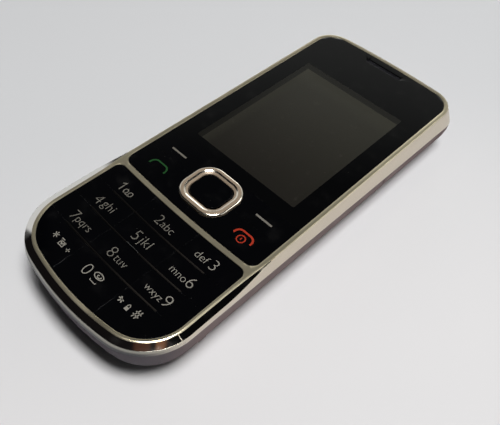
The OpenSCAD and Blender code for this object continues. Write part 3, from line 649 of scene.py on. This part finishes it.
# %% Build the window
def build_window():
    bm = bmesh.new()

    def wall(path, rings):
        loops = skin(bm, [ring(path, inset, z) for inset, z in rings])
        for part in bm.faces:
            part.material_index = 1
        return loops

    outer = wall(pane_edge, [(SEAT_GAP, WINDOW_BACK), (SEAT_GAP, WINDOW_TOP - 0.03),
                             (SEAT_GAP + 0.01, WINDOW_TOP - 0.01), (SEAT_GAP + 0.03, WINDOW_TOP)])
    slot = wall(ear_slot, [(-0.1, WINDOW_TOP), (-0.03, WINDOW_TOP - 0.03),
                           (0, WINDOW_TOP - 0.1), (0, WINDOW_BACK)])
    view = add_ring(bm, ring(opening, 0, WINDOW_TOP))
    for part in fill_between(bm, outer[-1], [slot[0], view]):
        part.material_index = 1
    bm.faces.new(view)
    finishes = [clear, window_black]
    return make_piece("display_window_pane", bm, finishes, "phone", ["display_window"], 40)


pane = build_window()
print("window faces:", len(pane.data.polygons))

# %% Build the display
def build_display():
    bm = bmesh.new()
    low, high = (np.array(corner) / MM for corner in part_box("lcd_panel"))
    rim = round_box(low[0], high[0], low[1], high[1], 0.4)
    active = round_box(*ACTIVE_FIELD, 0.15)
    rings = [(rim, 0, low[2]), (rim, 0, high[2] - 0.05), (rim, 0.05, high[2]), (active, -0.02, high[2]),
             (active, 0.01, high[2] - 0.03)]
    loops = skin(bm, [ring(path, inset, z) for path, inset, z in rings])
    bm.faces.new(loops[0][::-1])
    bm.faces.new(loops[-1]).material_index = 1
    return make_piece("display_glass", bm, [display_edge, display], "phone", ["lcd_panel"], 30)


glass = build_display()
print("display glass faces:", len(glass.data.polygons))

# %% [markdown]
# ## Keys
#
# The keys are polished caps on one silicone web. Their CAD solids are right but have knife edges, and
# real mouldings never do. `softened` copies a solid, joins its loose triangles, and rounds the edges that
# are sharper than an angle.

# %% Soften solids
KEY_CROWN_Z = 13.45


def softened(node, edge, finish, body_name=None, sharp=30, segments=2, spread=0.0):
    """A CAD solid with round edges; spread moves its top outline outwards."""
    bm = bmesh.new()
    bm.from_mesh(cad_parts[node].data)
    bmesh.ops.remove_doubles(bm, verts=bm.verts, dist=0.002 * MM)
    bmesh.ops.dissolve_limit(bm, angle_limit=math.radians(0.6), verts=bm.verts, edges=bm.edges)
    bmesh.ops.recalc_face_normals(bm, faces=bm.faces)
    bm.normal_update()
    moves = {}
    for vertex in bm.verts if spread else ():
        walls = [part.normal.to_2d() for part in vertex.link_faces if abs(part.normal.z) < 0.3]
        if vertex.co.z > KEY_CROWN_Z * MM and len(walls) > 1:
            first, last = walls[0].normalized(), walls[-1].normalized()
            moves[vertex] = (first + last) * (spread * MM / (1 + max(first.dot(last), -0.5)))
    for vertex, move in moves.items():
        vertex.co.xy += move
    hard = [e for e in bm.edges if len(e.link_faces) == 2 and e.calc_face_angle(0) > math.radians(sharp)]
    rounding = {"offset": edge * MM, "segments": segments, "profile": 0.5}
    bmesh.ops.bevel(bm, geom=hard, affect="EDGES", clamp_overlap=True, **rounding)
    bmesh.ops.remove_doubles(bm, verts=bm.verts, dist=0.0005 * MM)
    return make_piece(node + "_soft", bm, finish, body_name or node, [node], 40)


NUMBER_KEYS = [f"key_{name}" for name in ("1", "2", "3", "4", "5", "6", "7", "8", "9", "star", "0", "hash")]
FUNCTION_KEYS = ["left_soft_key", "right_soft_key", "call_key", "end_key"]
for name in NUMBER_KEYS + FUNCTION_KEYS:
    softened(name, 0.02, key_black, spread=0.05)
softened("select_key", 0.03, key_black, segments=3)
print("softened keys:", len(NUMBER_KEYS) + len(FUNCTION_KEYS) + 1)

# %% [markdown]
# ## Navigation ring
#
# The ring is a plated moulding. Its face slopes up from the outside to a crest and drops steeply to a lip
# round the select key, and this bent section is what draws its bright and dark lines. The section is
# swept round a rounded rectangle.

# %% Build the ring
NAV_Y, NAV_W, NAV_L, NAV_R = -15.05, 13.3, 12.1, 4.5
NAV_LEFT, NAV_RIGHT = -NAV_W / 2 - 0.05, NAV_W / 2
ring_path = round_box(NAV_LEFT, NAV_RIGHT, NAV_Y - NAV_L / 2, NAV_Y + NAV_L / 2, NAV_R, 24)
RING_SECTION = [
    (0.0, 12.13), (0.0, 13.5), (0.03, 13.66), (0.1, 13.77), (0.2, 13.835), (0.34, 13.895), (0.5, 13.94),
    (0.75, 13.975), (1.0, 13.985), (1.06, 13.97), (1.12, 13.938), (1.38, 13.8), (1.45, 13.77), (1.7, 13.66),
    (1.86, 13.58), (1.95, 13.52), (1.99, 13.46), (2.0, 13.38), (2.0, 12.13),
]
POLISHED = (1, 2, 3, 4, 9, 10, 11)  # steps of the section that are polished


def build_nav_ring():
    bm = bmesh.new()
    loops = [add_ring(bm, ring(ring_path, inset, z)) for inset, z in RING_SECTION]
    for k, (low, high) in enumerate(zip(loops, loops[1:] + loops[:1])):
        start = len(bm.faces)
        join_rings(bm, low, high)
        bm.faces.ensure_lookup_table()
        for part in bm.faces[start:]:
            part.material_index = int(k in POLISHED)
    finishes = [ring_metal, ring_polish]
    return make_piece("nav_ring_plated", bm, finishes, "nav_ring", ["nav_ring"], 60)


def build_ring_field():
    """The black plate that fills the corners between the ring, the window and the soft keys."""
    arch = [p for p in ring(ring_path, -0.12, WINDOW_TOP) if p[1] > NAV_Y + 2.6]
    left, right = -NAV_W / 2 - 0.2, NAV_W / 2 + 0.2
    edge = [(right, arch[0][1]), (right, FUNCTION_Y + 0.06), (left, FUNCTION_Y + 0.06), (left, arch[-1][1])]
    outline = np.array([(x, y, WINDOW_TOP) for x, y in edge] + arch[::-1])
    bm = bmesh.new()
    high, low = add_ring(bm, outline), add_ring(bm, outline - (0, 0, 0.8))
    bm.faces.new(high)
    join_rings(bm, low, high)
    return make_piece("ring_field", bm, key_black, "phone")


nav_ring, ring_field = build_nav_ring(), build_ring_field()
print("ring faces:", len(nav_ring.data.polygons), "field faces:", len(ring_field.data.polygons))

# %% [markdown]
# ## Legends
#
# Digits, letter groups and small signs are printed on the keys. They are made as thin meshes that ride on
# their own key, so they move when it is pressed. The sizes and places were read from the photograph.

# %% Printed finishes
def print_ink(name, colour, worn):
    ink = Finish(name, Specular_IOR_Level=0.1)
    x, y, _ = ink.axes()
    used = (1 - x.ramp(-2, 10)) * y.ramp(-46, -43)
    wear = ink.noise(0.5, 4).ramp(0.55, 0.8) * 0.4 + used * 0.6
    ink.set(Base_Color=ink.mix(wear, colour, worn), Roughness=0.42 + wear * 0.15)
    return ink


pale_ink = print_ink("pale_ink", (0.24, 0.226, 0.194), (0.075, 0.069, 0.057))
bar_ink = print_ink("bar_ink", (0.164, 0.152, 0.130), (0.122, 0.113, 0.095))
green_ink = print_ink("green_ink", (0.0135, 0.070, 0.0175), (0.0088, 0.046, 0.0115))
red_ink = print_ink("red_ink", (0.34, 0.030, 0.0130), (0.25, 0.0235, 0.0105))
INK_Z, INK_T = 13.502, 0.012
print("inks:", pale_ink.material.name, green_ink.material.name, red_ink.material.name)

# %% Text fitted to a box
def text_mesh(string, bold):
    """Plain mesh of a line of text, in the font's own units."""
    curve = bpy.data.curves.new("line", "FONT")
    curve.body = string
    curve.offset = bold
    holder = bpy.data.objects.new("line", curve)
    bpy.context.scene.collection.objects.link(holder)
    bpy.context.view_layer.update()
    mesh = bpy.data.meshes.new_from_object(holder.evaluated_get(bpy.context.evaluated_depsgraph_get()))
    bpy.data.objects.remove(holder)
    bpy.data.curves.remove(curve)
    return mesh


def text_on_key(key, string, x0, x1, base, top=None, bold=0.0, ink=pale_ink):
    """Prints text between x0 and x1 on a baseline; top stretches it to a height."""
    mesh = text_mesh(string, bold)
    points = np.array([v.co for v in mesh.vertices])
    low, high = points.min(0), points.max(0)
    across = (x1 - x0) / (high[0] - low[0])
    up = (top - base) / (high[1] - low[1]) if top is not None else across
    foot = low[1] if top is not None else 0.0
    for vertex in mesh.vertices:
        x, y, _ = vertex.co
        vertex.co = ((x0 + (x - low[0]) * across) * MM, (base + (y - foot) * up) * MM, (INK_Z + INK_T) * MM)
    bm = bmesh.new()
    bm.from_mesh(mesh)
    bpy.data.meshes.remove(mesh)
    bmesh.ops.recalc_face_normals(bm, faces=bm.faces)
    for part in bm.faces:
        if part.normal.z < 0:
            part.normal_flip()
    name = "legend_" + "".join(c if c.isalnum() else str(ord(c)) for c in string)
    return make_piece(name, bm, ink, key)


DIGITS = {
    "2": ("key_2", -2.45, -0.95, -29.65, -27.15), "3": ("key_3", 13.95, 15.4, -29.2, -26.65),
    "4": ("key_4", -15.6, -14.0, -35.6, -33.1), "5": ("key_5", -2.5, -1.05, -35.75, -33.2),
    "6": ("key_6", 13.8, 15.35, -35.25, -32.7), "7": ("key_7", -15.45, -13.95, -41.75, -39.35),
    "8": ("key_8", -2.6, -1.05, -41.9, -39.35), "9": ("key_9", 13.7, 15.35, -41.35, -38.75),
    "0": ("key_0", -2.7, -1.05, -48.0, -45.4),
}
LETTERS = {
    "abc": ("key_2", -0.6, 3.0, -29.55), "def": ("key_3", 9.9, 13.25, -29.2),
    "ghi": ("key_4", -13.35, -10.05, -35.1), "jkl": ("key_5", -0.4, 2.4, -35.45),
    "mno": ("key_6", 9.1, 13.4, -35.2), "pqrs": ("key_7", -13.75, -9.2, -41.6),
    "tuv": ("key_8", -0.55, 2.9, -41.75), "wxyz": ("key_9", 8.75, 13.45, -41.35),
}
for string, (key, x0, x1, base, top) in DIGITS.items():
    text_on_key(key, string, x0, x1, base, top, bold=-0.021)
for string, (key, x0, x1, base) in LETTERS.items():
    text_on_key(key, string, x0, x1, base, bold=-0.014)
print("printed texts:", len(DIGITS) + len(LETTERS))

# %% [markdown]
# Signs are drawn as strokes: a line of points with a width, as a pen would draw it. Each stroke is a flat
# ribbon.

# %% Strokes
def stroke(bm, points, width, closed=False):
    """Adds a ribbon along points, with mitred bends."""
    p = np.array(points, float)
    ahead, behind = np.roll(p, -1, 0) - p, p - np.roll(p, 1, 0)
    if not closed:
        ahead[-1], behind[0] = behind[-1], ahead[0]
    ahead /= np.linalg.norm(ahead, axis=1)[:, None]
    behind /= np.linalg.norm(behind, axis=1)[:, None]
    side = np.column_stack([-(ahead + behind)[:, 1], (ahead + behind)[:, 0]])
    side /= np.linalg.norm(side, axis=1)[:, None]
    reach = width / 2 / np.maximum((side * np.column_stack([-ahead[:, 1], ahead[:, 0]])).sum(1), 0.5)
    z = np.full((len(p), 1), INK_Z + INK_T)
    right = add_ring(bm, np.hstack([p - side * reach[:, None], z]))
    left = add_ring(bm, np.hstack([p + side * reach[:, None], z]))
    join_rings(bm, right, left, closed)


def circle(x, y, rx, ry, steps=28, start=0, end=360):
    """Points of a whole ellipse, or of a part of it with both ends."""
    a = np.radians(np.linspace(start, end, steps, endpoint=end - start < 360))
    return np.column_stack([x + rx * np.cos(a), y + ry * np.sin(a)])


def sign(name, key, ink, strokes):
    """A printed sign made of strokes: points, width and, for a closed one, True."""
    bm = bmesh.new()
    for one in strokes:
        stroke(bm, *one)
    return make_piece(name, bm, ink, key)


def handset(x, y, half_w, rise, corner):
    """Line of a resting handset: feet, rounded shoulders and a flat back."""
    left = circle(x - half_w * 0.45, y + rise - corner, half_w * 0.55, corner, 10, 180, 90)
    right = circle(x + half_w * 0.45, y + rise - corner, half_w * 0.55, corner, 10, 90, 0)
    return np.vstack([[x - half_w, y], left, right, [x + half_w, y]])


STAR_X, STAR_Y = -13.12, -46.35
sign("soft_bar_left", "left_soft_key", bar_ink, [([(-16.0, -12.4), (-11.25, -12.4)], 0.48)])
sign("soft_bar_right", "right_soft_key", bar_ink, [([(11.3, -12.27), (15.95, -12.27)], 0.48)])
sign("call_sign", "call_key", green_ink, [(handset(-13.68, -19.4, 2.45, 1.85, 1.5), 0.42)])
sign("end_sign", "end_key", red_ink, [
    (handset(13.72, -19.15, 2.4, 1.75, 1.4), 0.46),
    (circle(13.7, -19.35, 0.95, 0.95), 0.26, True),
    ([(13.7, -19.6), (13.7, -19.0)], 0.26),
])
sign("legend_1", "key_1", pale_ink, [([(-14.98, -27.75), (-14.3, -27.2), (-14.3, -29.5)], 0.3)])
sign("star", "key_star", pale_ink, [
    ([(STAR_X - x, STAR_Y - y), (STAR_X + x, STAR_Y + y)], 0.2)
    for x, y in circle(0, 0, 0.72, 0.78, 3, 30, 150)
])
sign("hash", "key_hash", pale_ink, [
    ([(12.2, -46.97), (12.6, -44.9)], 0.24), ([(12.85, -46.97), (13.25, -44.9)], 0.24),
    ([(11.9, -46.3), (13.4, -46.3)], 0.24), ([(12.05, -45.6), (13.5, -45.6)], 0.24),
])
sign("mail_loops", "key_1", pale_ink, [
    (circle(-12.75, -28.75, 0.48, 0.62), 0.24, True), (circle(-11.25, -28.75, 0.48, 0.62), 0.24, True),
    ([(-12.75, -29.4), (-11.25, -29.4)], 0.22),
])
sign("envelope", "key_star", pale_ink, [
    ([(-11.1, -46.35), (-9.75, -46.35), (-9.75, -47.4), (-11.1, -47.4)], 0.2, True),
    ([(-11.1, -46.4), (-10.42, -47.0), (-9.75, -46.4)], 0.3), ([(-11.55, -45.95), (-10.6, -45.95)], 0.2),
])
sign("plus", "key_star", pale_ink, [
    ([(-8.7, -46.98), (-7.7, -46.98)], 0.2), ([(-8.2, -46.48), (-8.2, -47.48)], 0.2),
])
sign("oval_loops", "key_0", pale_ink, [
    (circle(1.1, -46.1, 1.2, 0.66), 0.22, True), (circle(1.25, -46.15, 0.5, 0.3, 16, 120, 400), 0.22),
    ([(0.3, -47.45), (0.3, -47.8), (1.95, -47.8), (1.95, -47.45)], 0.16),
])
sign("arrow", "key_hash", pale_ink, [
    ([(7.35, -46.0), (8.75, -46.0)], 0.24), ([(7.65, -45.55), (8.2, -46.05), (7.75, -46.7)], 0.3),
    ([(8.2, -46.1), (8.6, -46.65)], 0.26),
])
sign("lock", "key_hash", pale_ink, [
    ([(9.9, -46.6), (10.75, -46.6)], 0.75), (circle(10.32, -46.15, 0.32, 0.55, 12, 0, 180), 0.2),
])
print("signs drawn")

# %% [markdown]
# The middle key has a raised bar, so that a thumb finds it unseen.

# %% Bar of the middle key
def build_touch_bar():
    path = round_box(-1.95, 1.9, -37.3, -36.95, 0.17, 5)
    bm = bmesh.new()
    rings = [(0, 13.5), (0, 13.56), (0.05, 13.63), (0.12, 13.66)]
    loops = skin(bm, [ring(path, inset, z) for inset, z in rings])
    bm.faces.new(loops[-1])
    return make_piece("touch_bar", bm, key_black, "key_5")


touch_bar = build_touch_bar()
print("touch bar faces:", len(touch_bar.data.polygons))

# %% [markdown]
# ## Geometry Nodes for what repeats
#
# Three ribs part the rows of keys, and fine wires cross in the earpiece. Each is one small shape and a
# rule, so a node group makes the copies, and the result becomes a plain mesh.


# %% Geometry group helper
class Geometry(Tree):
    """A Geometry Nodes group with named inputs."""

    def __init__(self, name, **inputs):
        super().__init__(bpy.data.node_groups.new(name, "GeometryNodeTree"))
        self.values = inputs
        self.nodes.interface.new_socket("Geometry", in_out="OUTPUT", socket_type="NodeSocketGeometry")
        for key in inputs:
            self.nodes.interface.new_socket(key, in_out="INPUT", socket_type="NodeSocketFloat")
        self.source = self.nodes.nodes.new("NodeGroupInput")
        self.given = {key: Signal(self, self.source.outputs[key]) for key in inputs}

    def mesh(self, geometry, finish):
        """Runs the group once and returns its result as a plain mesh."""
        real = self.add("GeometryNodeRealizeInstances", sockets={0: geometry})
        coated = self.add("GeometryNodeSetMaterial", sockets={0: real, "Material": finish.material})
        end = self.nodes.nodes.new("NodeGroupOutput")
        self.nodes.links.new(coated.socket, end.inputs[0])
        holder = bpy.data.objects.new("holder", bpy.data.meshes.new("holder"))
        bpy.context.scene.collection.objects.link(holder)
        run = holder.modifiers.new("run", "NODES")
        run.node_group = self.nodes
        for item in self.nodes.interface.items_tree:
            if item.in_out == "INPUT":
                run[item.identifier] = self.values[item.name]
        bpy.context.view_layer.update()
        mesh = bpy.data.meshes.new_from_object(holder.evaluated_get(bpy.context.evaluated_depsgraph_get()))
        bpy.data.objects.remove(holder)
        return mesh

    def vector(self, x=0.0, y=0.0, z=0.0):
        return self.add("ShaderNodeCombineXYZ", sockets={0: x, 1: y, 2: z})

    def rod(self, core, sides, caps=False):
        """A round bar along a curve, with the group's radius."""
        sockets = {"Resolution": sides, "Radius": self.given["radius"]}
        section = self.add("GeometryNodeCurvePrimitiveCircle", sockets=sockets)
        sockets = {"Curve": core, "Profile Curve": section, "Fill Caps": caps}
        return self.add("GeometryNodeCurveToMesh", sockets=sockets)

    def row(self, shape, count, first, step):
        """Copies of a shape, set out in steps from a first place."""
        sockets = {"Count": count, "Start Location": first, "Offset": step}
        places = self.add("GeometryNodeMeshLine", sockets=sockets)
        return self.add("GeometryNodeInstanceOnPoints", sockets={"Points": places, "Instance": shape})


print("geometry groups ready")

# %% Ribs between the rows
rib_plastic = Finish("rib_plastic", Specular_IOR_Level=0.03)
# Painted light: the ribs are lighter towards the right, over faint blotches.
variation = rib_plastic.noise(1.5, 4) * 0.25 + rib_plastic.axes()[0].ramp(-4, 14) * 0.75
rib_plastic.set(
    Base_Color=rib_plastic.mix(variation, (0.0020, 0.0018, 0.0018), (0.0205, 0.0180, 0.0155)),
    Roughness=0.5 + rib_plastic.noise(0.8) * 0.12,
)
ribs = Geometry("ribs", half_length=14.6 * MM, sag=ROW_SAG / SAG_X**2 / MM, radius=0.19 * MM,
                first=-31.0 * MM, pitch=6.12 * MM, height=13.42 * MM)
line = ribs.add("GeometryNodeCurvePrimitiveLine", sockets={
    "Start": ribs.vector(0 - ribs.given["half_length"]), "End": ribs.vector(ribs.given["half_length"])})
line = ribs.add("GeometryNodeResampleCurve", sockets={"Curve": line, "Count": 36})
x = ribs.split(ribs.add("GeometryNodeInputPosition"))[0]
bend = ribs.vector(y=x * x * ribs.given["sag"])
bent = ribs.add("GeometryNodeSetPosition", sockets={"Geometry": line, "Offset": bend})
start = ribs.vector(y=ribs.given["first"], z=ribs.given["height"])
copies = ribs.row(ribs.rod(bent, 10, caps=True), 3, start, ribs.vector(y=0 - ribs.given["pitch"]))
rib_mesh = ribs.mesh(copies, rib_plastic)
row_ribs = dress_piece("row_ribs_soft", rib_mesh, rib_plastic, "phone", ["row_ribs"])
print("rib faces:", len(row_ribs.data.polygons))

# %% [markdown]
# The earpiece slot is closed by woven wire that keeps dust out. One wire runs along and one across; each
# is copied at its pitch, and alternate heights make the weave.

# %% Wires of the earpiece
wire_metal = Finish("wire_metal", Metallic=1.0)
wire_metal.set(
    Base_Color=wire_metal.mix(wire_metal.noise(0.6), (0.05, 0.05, 0.06), (0.085, 0.085, 0.10)),
    Roughness=0.35 + wire_metal.noise(1) * 0.1,
)
wires = Geometry("wires", length=11.4 * MM, width=1.24 * MM, pitch=0.24 * MM, radius=0.06 * MM,
                 height=13.3 * MM, middle=EAR_Y * MM)


def wire_rows(count, start, end, first, step):
    """Copies of one wire from start to end, set out from a first place."""
    core = wires.add("GeometryNodeCurvePrimitiveLine", sockets={"Start": start, "End": end})
    return wires.row(wires.rod(core, 6), count, first, step)


half_length, half_width = wires.given["length"] * 0.5, wires.given["width"] * 0.5
pitch, height, middle = wires.given["pitch"], wires.given["height"], wires.given["middle"]
lengthways = wire_rows(5, wires.vector(0 - half_length), wires.vector(half_length),
                       wires.vector(y=middle - pitch * 2, z=height), wires.vector(y=pitch))
under = height - wires.given["radius"]
crossways = wire_rows(43, wires.vector(y=0 - half_width), wires.vector(y=half_width),
                      wires.vector(x=0 - pitch * 21, y=middle, z=under), wires.vector(x=pitch))
weave = wires.add("GeometryNodeJoinGeometry", sockets={0: lengthways})
wires.nodes.links.new(crossways.socket, weave.socket.node.inputs[0])
wire_mesh = wires.mesh(weave, wire_metal)
mesh_wires = dress_piece("earpiece_wires", wire_mesh, wire_metal, "phone", ["earpiece_mesh"])
print("wire faces:", len(mesh_wires.data.polygons))

# %% [markdown]
# ## Rear housing and inner pieces
#
# The housing is moulded in a dark purple-grey plastic. Its solids keep their shape and get softer edges.
# The pieces inside show when the rear cover slides off, so each has its own material: board, shields,
# gold contacts, film.

# %% Housing
housing = Finish("housing_plastic", Specular_IOR_Level=0.0)
texture = housing.noise(0.25, 3)
worn = housing.noise(7, 4).ramp(0.5, 0.8)
housing_x, housing_y, housing_z = housing.axes()
# Painted shade: the lowest band of the foot end is nearly black.
shaded = (1 - housing_z.ramp(3, 6.5)) * (1 - housing_y.ramp(-50, -35)) * (1 - housing_x.ramp(14, 21))
plastic = housing.mix(worn, (0.260, 0.204, 0.200), (0.310, 0.243, 0.239))
# Painted shade: the foot end is darker than the sides.
plastic = housing.mix((1 - housing_y.ramp(-51, -36)) * 0.8, plastic, (0.13, 0.128, 0.145))
housing.set(
    Base_Color=housing.mix(shaded * 0.8, plastic, (0.004, 0.004, 0.004)),
    Roughness=0.42 + worn * 0.12,
    Normal=housing.bump(texture, 0.004),
)
for node in ("rear_chassis", "rear_cover", "card_door"):
    body_name = "phone" if node == "rear_chassis" else node
    softened(node, 0.12, housing, body_name, sharp=40)
print("housing pieces softened")

# %% Finishes of inner pieces
def mottled(name, dark, light, size, roughness, metallic=0.0, relief=0.0):
    """A plain material with cloudy colour and uneven gloss."""
    made = Finish(name, Metallic=metallic)
    cloud = made.noise(size, 4)
    made.set(Base_Color=made.mix(cloud.ramp(0.3, 0.7), dark, light), Roughness=roughness + cloud * 0.1)
    if relief:
        made.set(Normal=made.bump(made.noise(size / 6, 2), relief))
    return made


board_green = Finish("board_green", Specular_IOR_Level=0.5)
tracks = board_green.add("ShaderNodeTexBrick", {"offset": 0.37}, {
    "Vector": board_green.place, "Scale": 260.0, "Mortar Size": 0.06,
    "Color1": (0, 0, 0), "Color2": (0, 0, 0), "Mortar": (1, 1, 1)})
board_green.set(Base_Color=board_green.mix(tracks, (0.006, 0.055, 0.022), (0.03, 0.16, 0.06)), Roughness=0.35)
wrap = mottled("battery_wrap", (0.05, 0.05, 0.055), (0.075, 0.075, 0.08), 6, 0.3)
steel = mottled("steel_sheet", (0.50, 0.50, 0.49), (0.62, 0.62, 0.60), 3, 0.25, 1.0, 0.003)
gold = mottled("contact_gold", (0.70, 0.50, 0.20), (0.85, 0.64, 0.30), 0.6, 0.2, 1.0)
moulded = mottled("moulded_black", (0.010, 0.010, 0.011), (0.018, 0.018, 0.019), 1.5, 0.45, 0.0, 0.006)
silicone = mottled("silicone", (0.006, 0.006, 0.007), (0.010, 0.010, 0.011), 4, 0.6)
film = mottled("film", (0.45, 0.43, 0.37), (0.52, 0.50, 0.44), 5, 0.25)
tape = mottled("tape", (0.012, 0.012, 0.013), (0.02, 0.02, 0.022), 2, 0.6)
ribbon = mottled("ribbon_copper", (0.010, 0.006, 0.004), (0.016, 0.010, 0.006), 2, 0.4)
card_white = mottled("card_plastic", (0.62, 0.63, 0.64), (0.70, 0.71, 0.72), 5, 0.4)
INNER = {
    moulded: ("earpiece", "loudspeaker", "camera_module", "camera_window", "audio_jack", "charging_socket"),
    steel: ("key_domes", "lcd_frame", "baseband_shield", "radio_shield", "microphone", "vibration_motor",
            "vibration_weight", "camera_trim", "data_socket", "sim_holder", "card_holder", "housing_screws"),
    silicone: ("nav_pad", "keypad_web"),
    gold: ("battery_connector", "antenna"),
    film: ("dome_sheet",),
    ribbon: ("lcd_ribbon",),
    board_green: ("main_board",),
    card_white: ("sim_card",),
    wrap: ("battery",),
}
for finish, nodes in INNER.items():
    for node in nodes:
        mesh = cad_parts[node].data
        mesh.materials.clear()
        mesh.materials.append(finish.material)
print("inner nodes dressed:", sum(len(nodes) for nodes in INNER.values()))

# %% [markdown]
# A thin black tape holds the window. Its opening is wider than the clear field, so it never shows through
# the pane.

# %% Build the tape under the border
def build_tape():
    """Thin black tape that holds the window; it stays out of the clear field."""
    low, high = (corner.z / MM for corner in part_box("window_tape"))
    bm = bmesh.new()
    paths = [(pane_edge, 0.2), (round_box(*TAPE_OPENING, 0.5), 0), (ear_slot, -0.3)]
    tops, backs = ([add_ring(bm, ring(path, inset, z)) for path, inset in paths] for z in (high, low))
    fill_between(bm, tops[0], tops[1:])
    fill_between(bm, backs[0], backs[1:], up=False)
    for number, (back, top) in enumerate(zip(backs, tops)):
        join_rings(bm, *((back, top) if number == 0 else (top, back)))
    return make_piece("window_tape_frame", bm, tape, "phone", ["window_tape"])


window_tape = build_tape()
print("tape faces:", len(window_tape.data.polygons))

# %% [markdown]
# ## Stage and light
#
# The phone lies on a pale table. One ceiling panel gives the light and the shadow, at a level where a
# colour renders about as it is written. Glossy black only shows what it mirrors, so the room is dim
# overhead and pale at the horizon, and it fills little. Two more lamps only show as glints on the metal.

# %% Table
table_paper = Finish("table_paper", Specular_IOR_Level=0.2, Roughness=0.8)
table_x, table_y, _ = table_paper.axes()
# Painted light: the paper is lighter towards the near, right side.
painted_light_share = (table_x * 0.85 - table_y * 0.5).ramp(-35, 56)
cloud = table_paper.noise(60, 3)
FAR_PAPER_SHADED, NEAR_PAPER_LIT = (0.640, 0.645, 0.655), (0.730, 0.720, 0.724)
table_paper.set(Base_Color=table_paper.mix(painted_light_share + cloud * 0.05, FAR_PAPER_SHADED, NEAR_PAPER_LIT))
bm = bmesh.new()
bmesh.ops.create_grid(bm, x_segments=12, y_segments=12, size=2.0)
bmesh.ops.translate(bm, verts=bm.verts, vec=(0, 0, -0.00002))
mesh = bpy.data.meshes.new("table")
bm.to_mesh(mesh)
bm.free()
mesh.materials.append(table_paper.material)
table = bpy.data.objects.new("table", mesh)
bpy.context.scene.collection.objects.link(table)
print("table laid")

# %% World
world = bpy.data.worlds.new("room")
bpy.context.scene.world = world
world.use_nodes = True
room = Tree(world.node_tree)
direction = room.add("ShaderNodeTexCoord", output="Generated")
east, north, up = room.split(direction)


def blend(share, first, second):
    return room.add("ShaderNodeMix", {"data_type": "RGBA"}, {0: share, 6: first, 7: second}, 2)


behind = north.ramp(-0.048, -0.018)
sheen = (north + east * 0.75).ramp(-0.275, -0.235) * (1 - east.ramp(-0.3, 0.0))
overhead = blend(sheen, (0.0015, 0.0015, 0.0016), (0.027, 0.029, 0.030))
ceiling = blend(up.ramp(0.55, 0.75), (0.23, 0.235, 0.225), overhead)
horizon = blend(behind, (0.05, 0.05, 0.05), (0.66, 0.66, 0.65))
side = (1 - east.ramp(-0.78, -0.68)) * 0.16 + east.ramp(0.35, 0.5) * 0.25
sky = blend((up - side).ramp(0.49, 0.55), horizon, blend(behind, (0.006, 0.005, 0.005), ceiling))
along, across = (east + north) * 0.707, (east - north) * 0.707
fold = along.ramp(-0.08, -0.06) * (1 - along.ramp(-0.04, -0.02))
curtain = along.ramp(-0.21, -0.17) * (1 - along.ramp(0.02, 0.06)) * (1 - fold)
curtain = curtain * across.ramp(-0.16, -0.1) * (1 - across.ramp(0.1, 0.14)) * up.ramp(0.9, 0.95)
sky = blend(curtain, sky, blend(along.ramp(-0.06, -0.03), (0.065, 0.026, 0.014), (0.20, 0.09, 0.045)))
glint = (east * -0.51 + north * 0.827 + up * 0.236).ramp(0.978, 0.990)
sky = blend(glint, sky, (2.5, 2.5, 2.4))
fill = 1 - room.add("ShaderNodeLightPath", output="Is Diffuse Ray") * 0.82
room.feed(world.node_tree.nodes["Background"], {"Color": sky, "Strength": fill})
print("world set")

# %% Lamps
def lamp(name, aim, distance, size, power, colour=(1, 1, 1)):
    """An area lamp, square at first, that shines at the phone from a direction."""
    data = bpy.data.lights.new(name, "AREA")
    data.shape, data.size, data.energy, data.color = "SQUARE", size, power, colour
    made = bpy.data.objects.new(name, data)
    bpy.context.scene.collection.objects.link(made)
    away = np.array(aim, float) / np.linalg.norm(aim)
    right = np.cross((0, 0, 1), away)
    right /= np.linalg.norm(right)
    over = np.cross(away, right)
    back = Matrix(np.column_stack([right, over, away]).tolist())
    made.matrix_world = Matrix.Translation(away * distance) @ back.to_4x4()
    return made


WARM = (1.0, 0.98, 0.95)
window = lamp("window_light", aim=(0.55, 0.65, 0.52), distance=0.7, size=0.4, power=1.5, colour=WARM)
skylight = lamp("skylight", aim=(0.2, -0.18, 0.97), distance=0.7, size=0.24, power=4.0)
for glint_lamp in (window, skylight):
    glint_lamp.visible_diffuse = False
panel = lamp("ceiling_panel", aim=(0.21, 0.03, 0.98), distance=0.9, size=0.2, power=8.2)
panel.data.shape, panel.data.size_y = "RECTANGLE", 0.36
panel.visible_glossy = False
print("lamps:", len(bpy.data.lights))
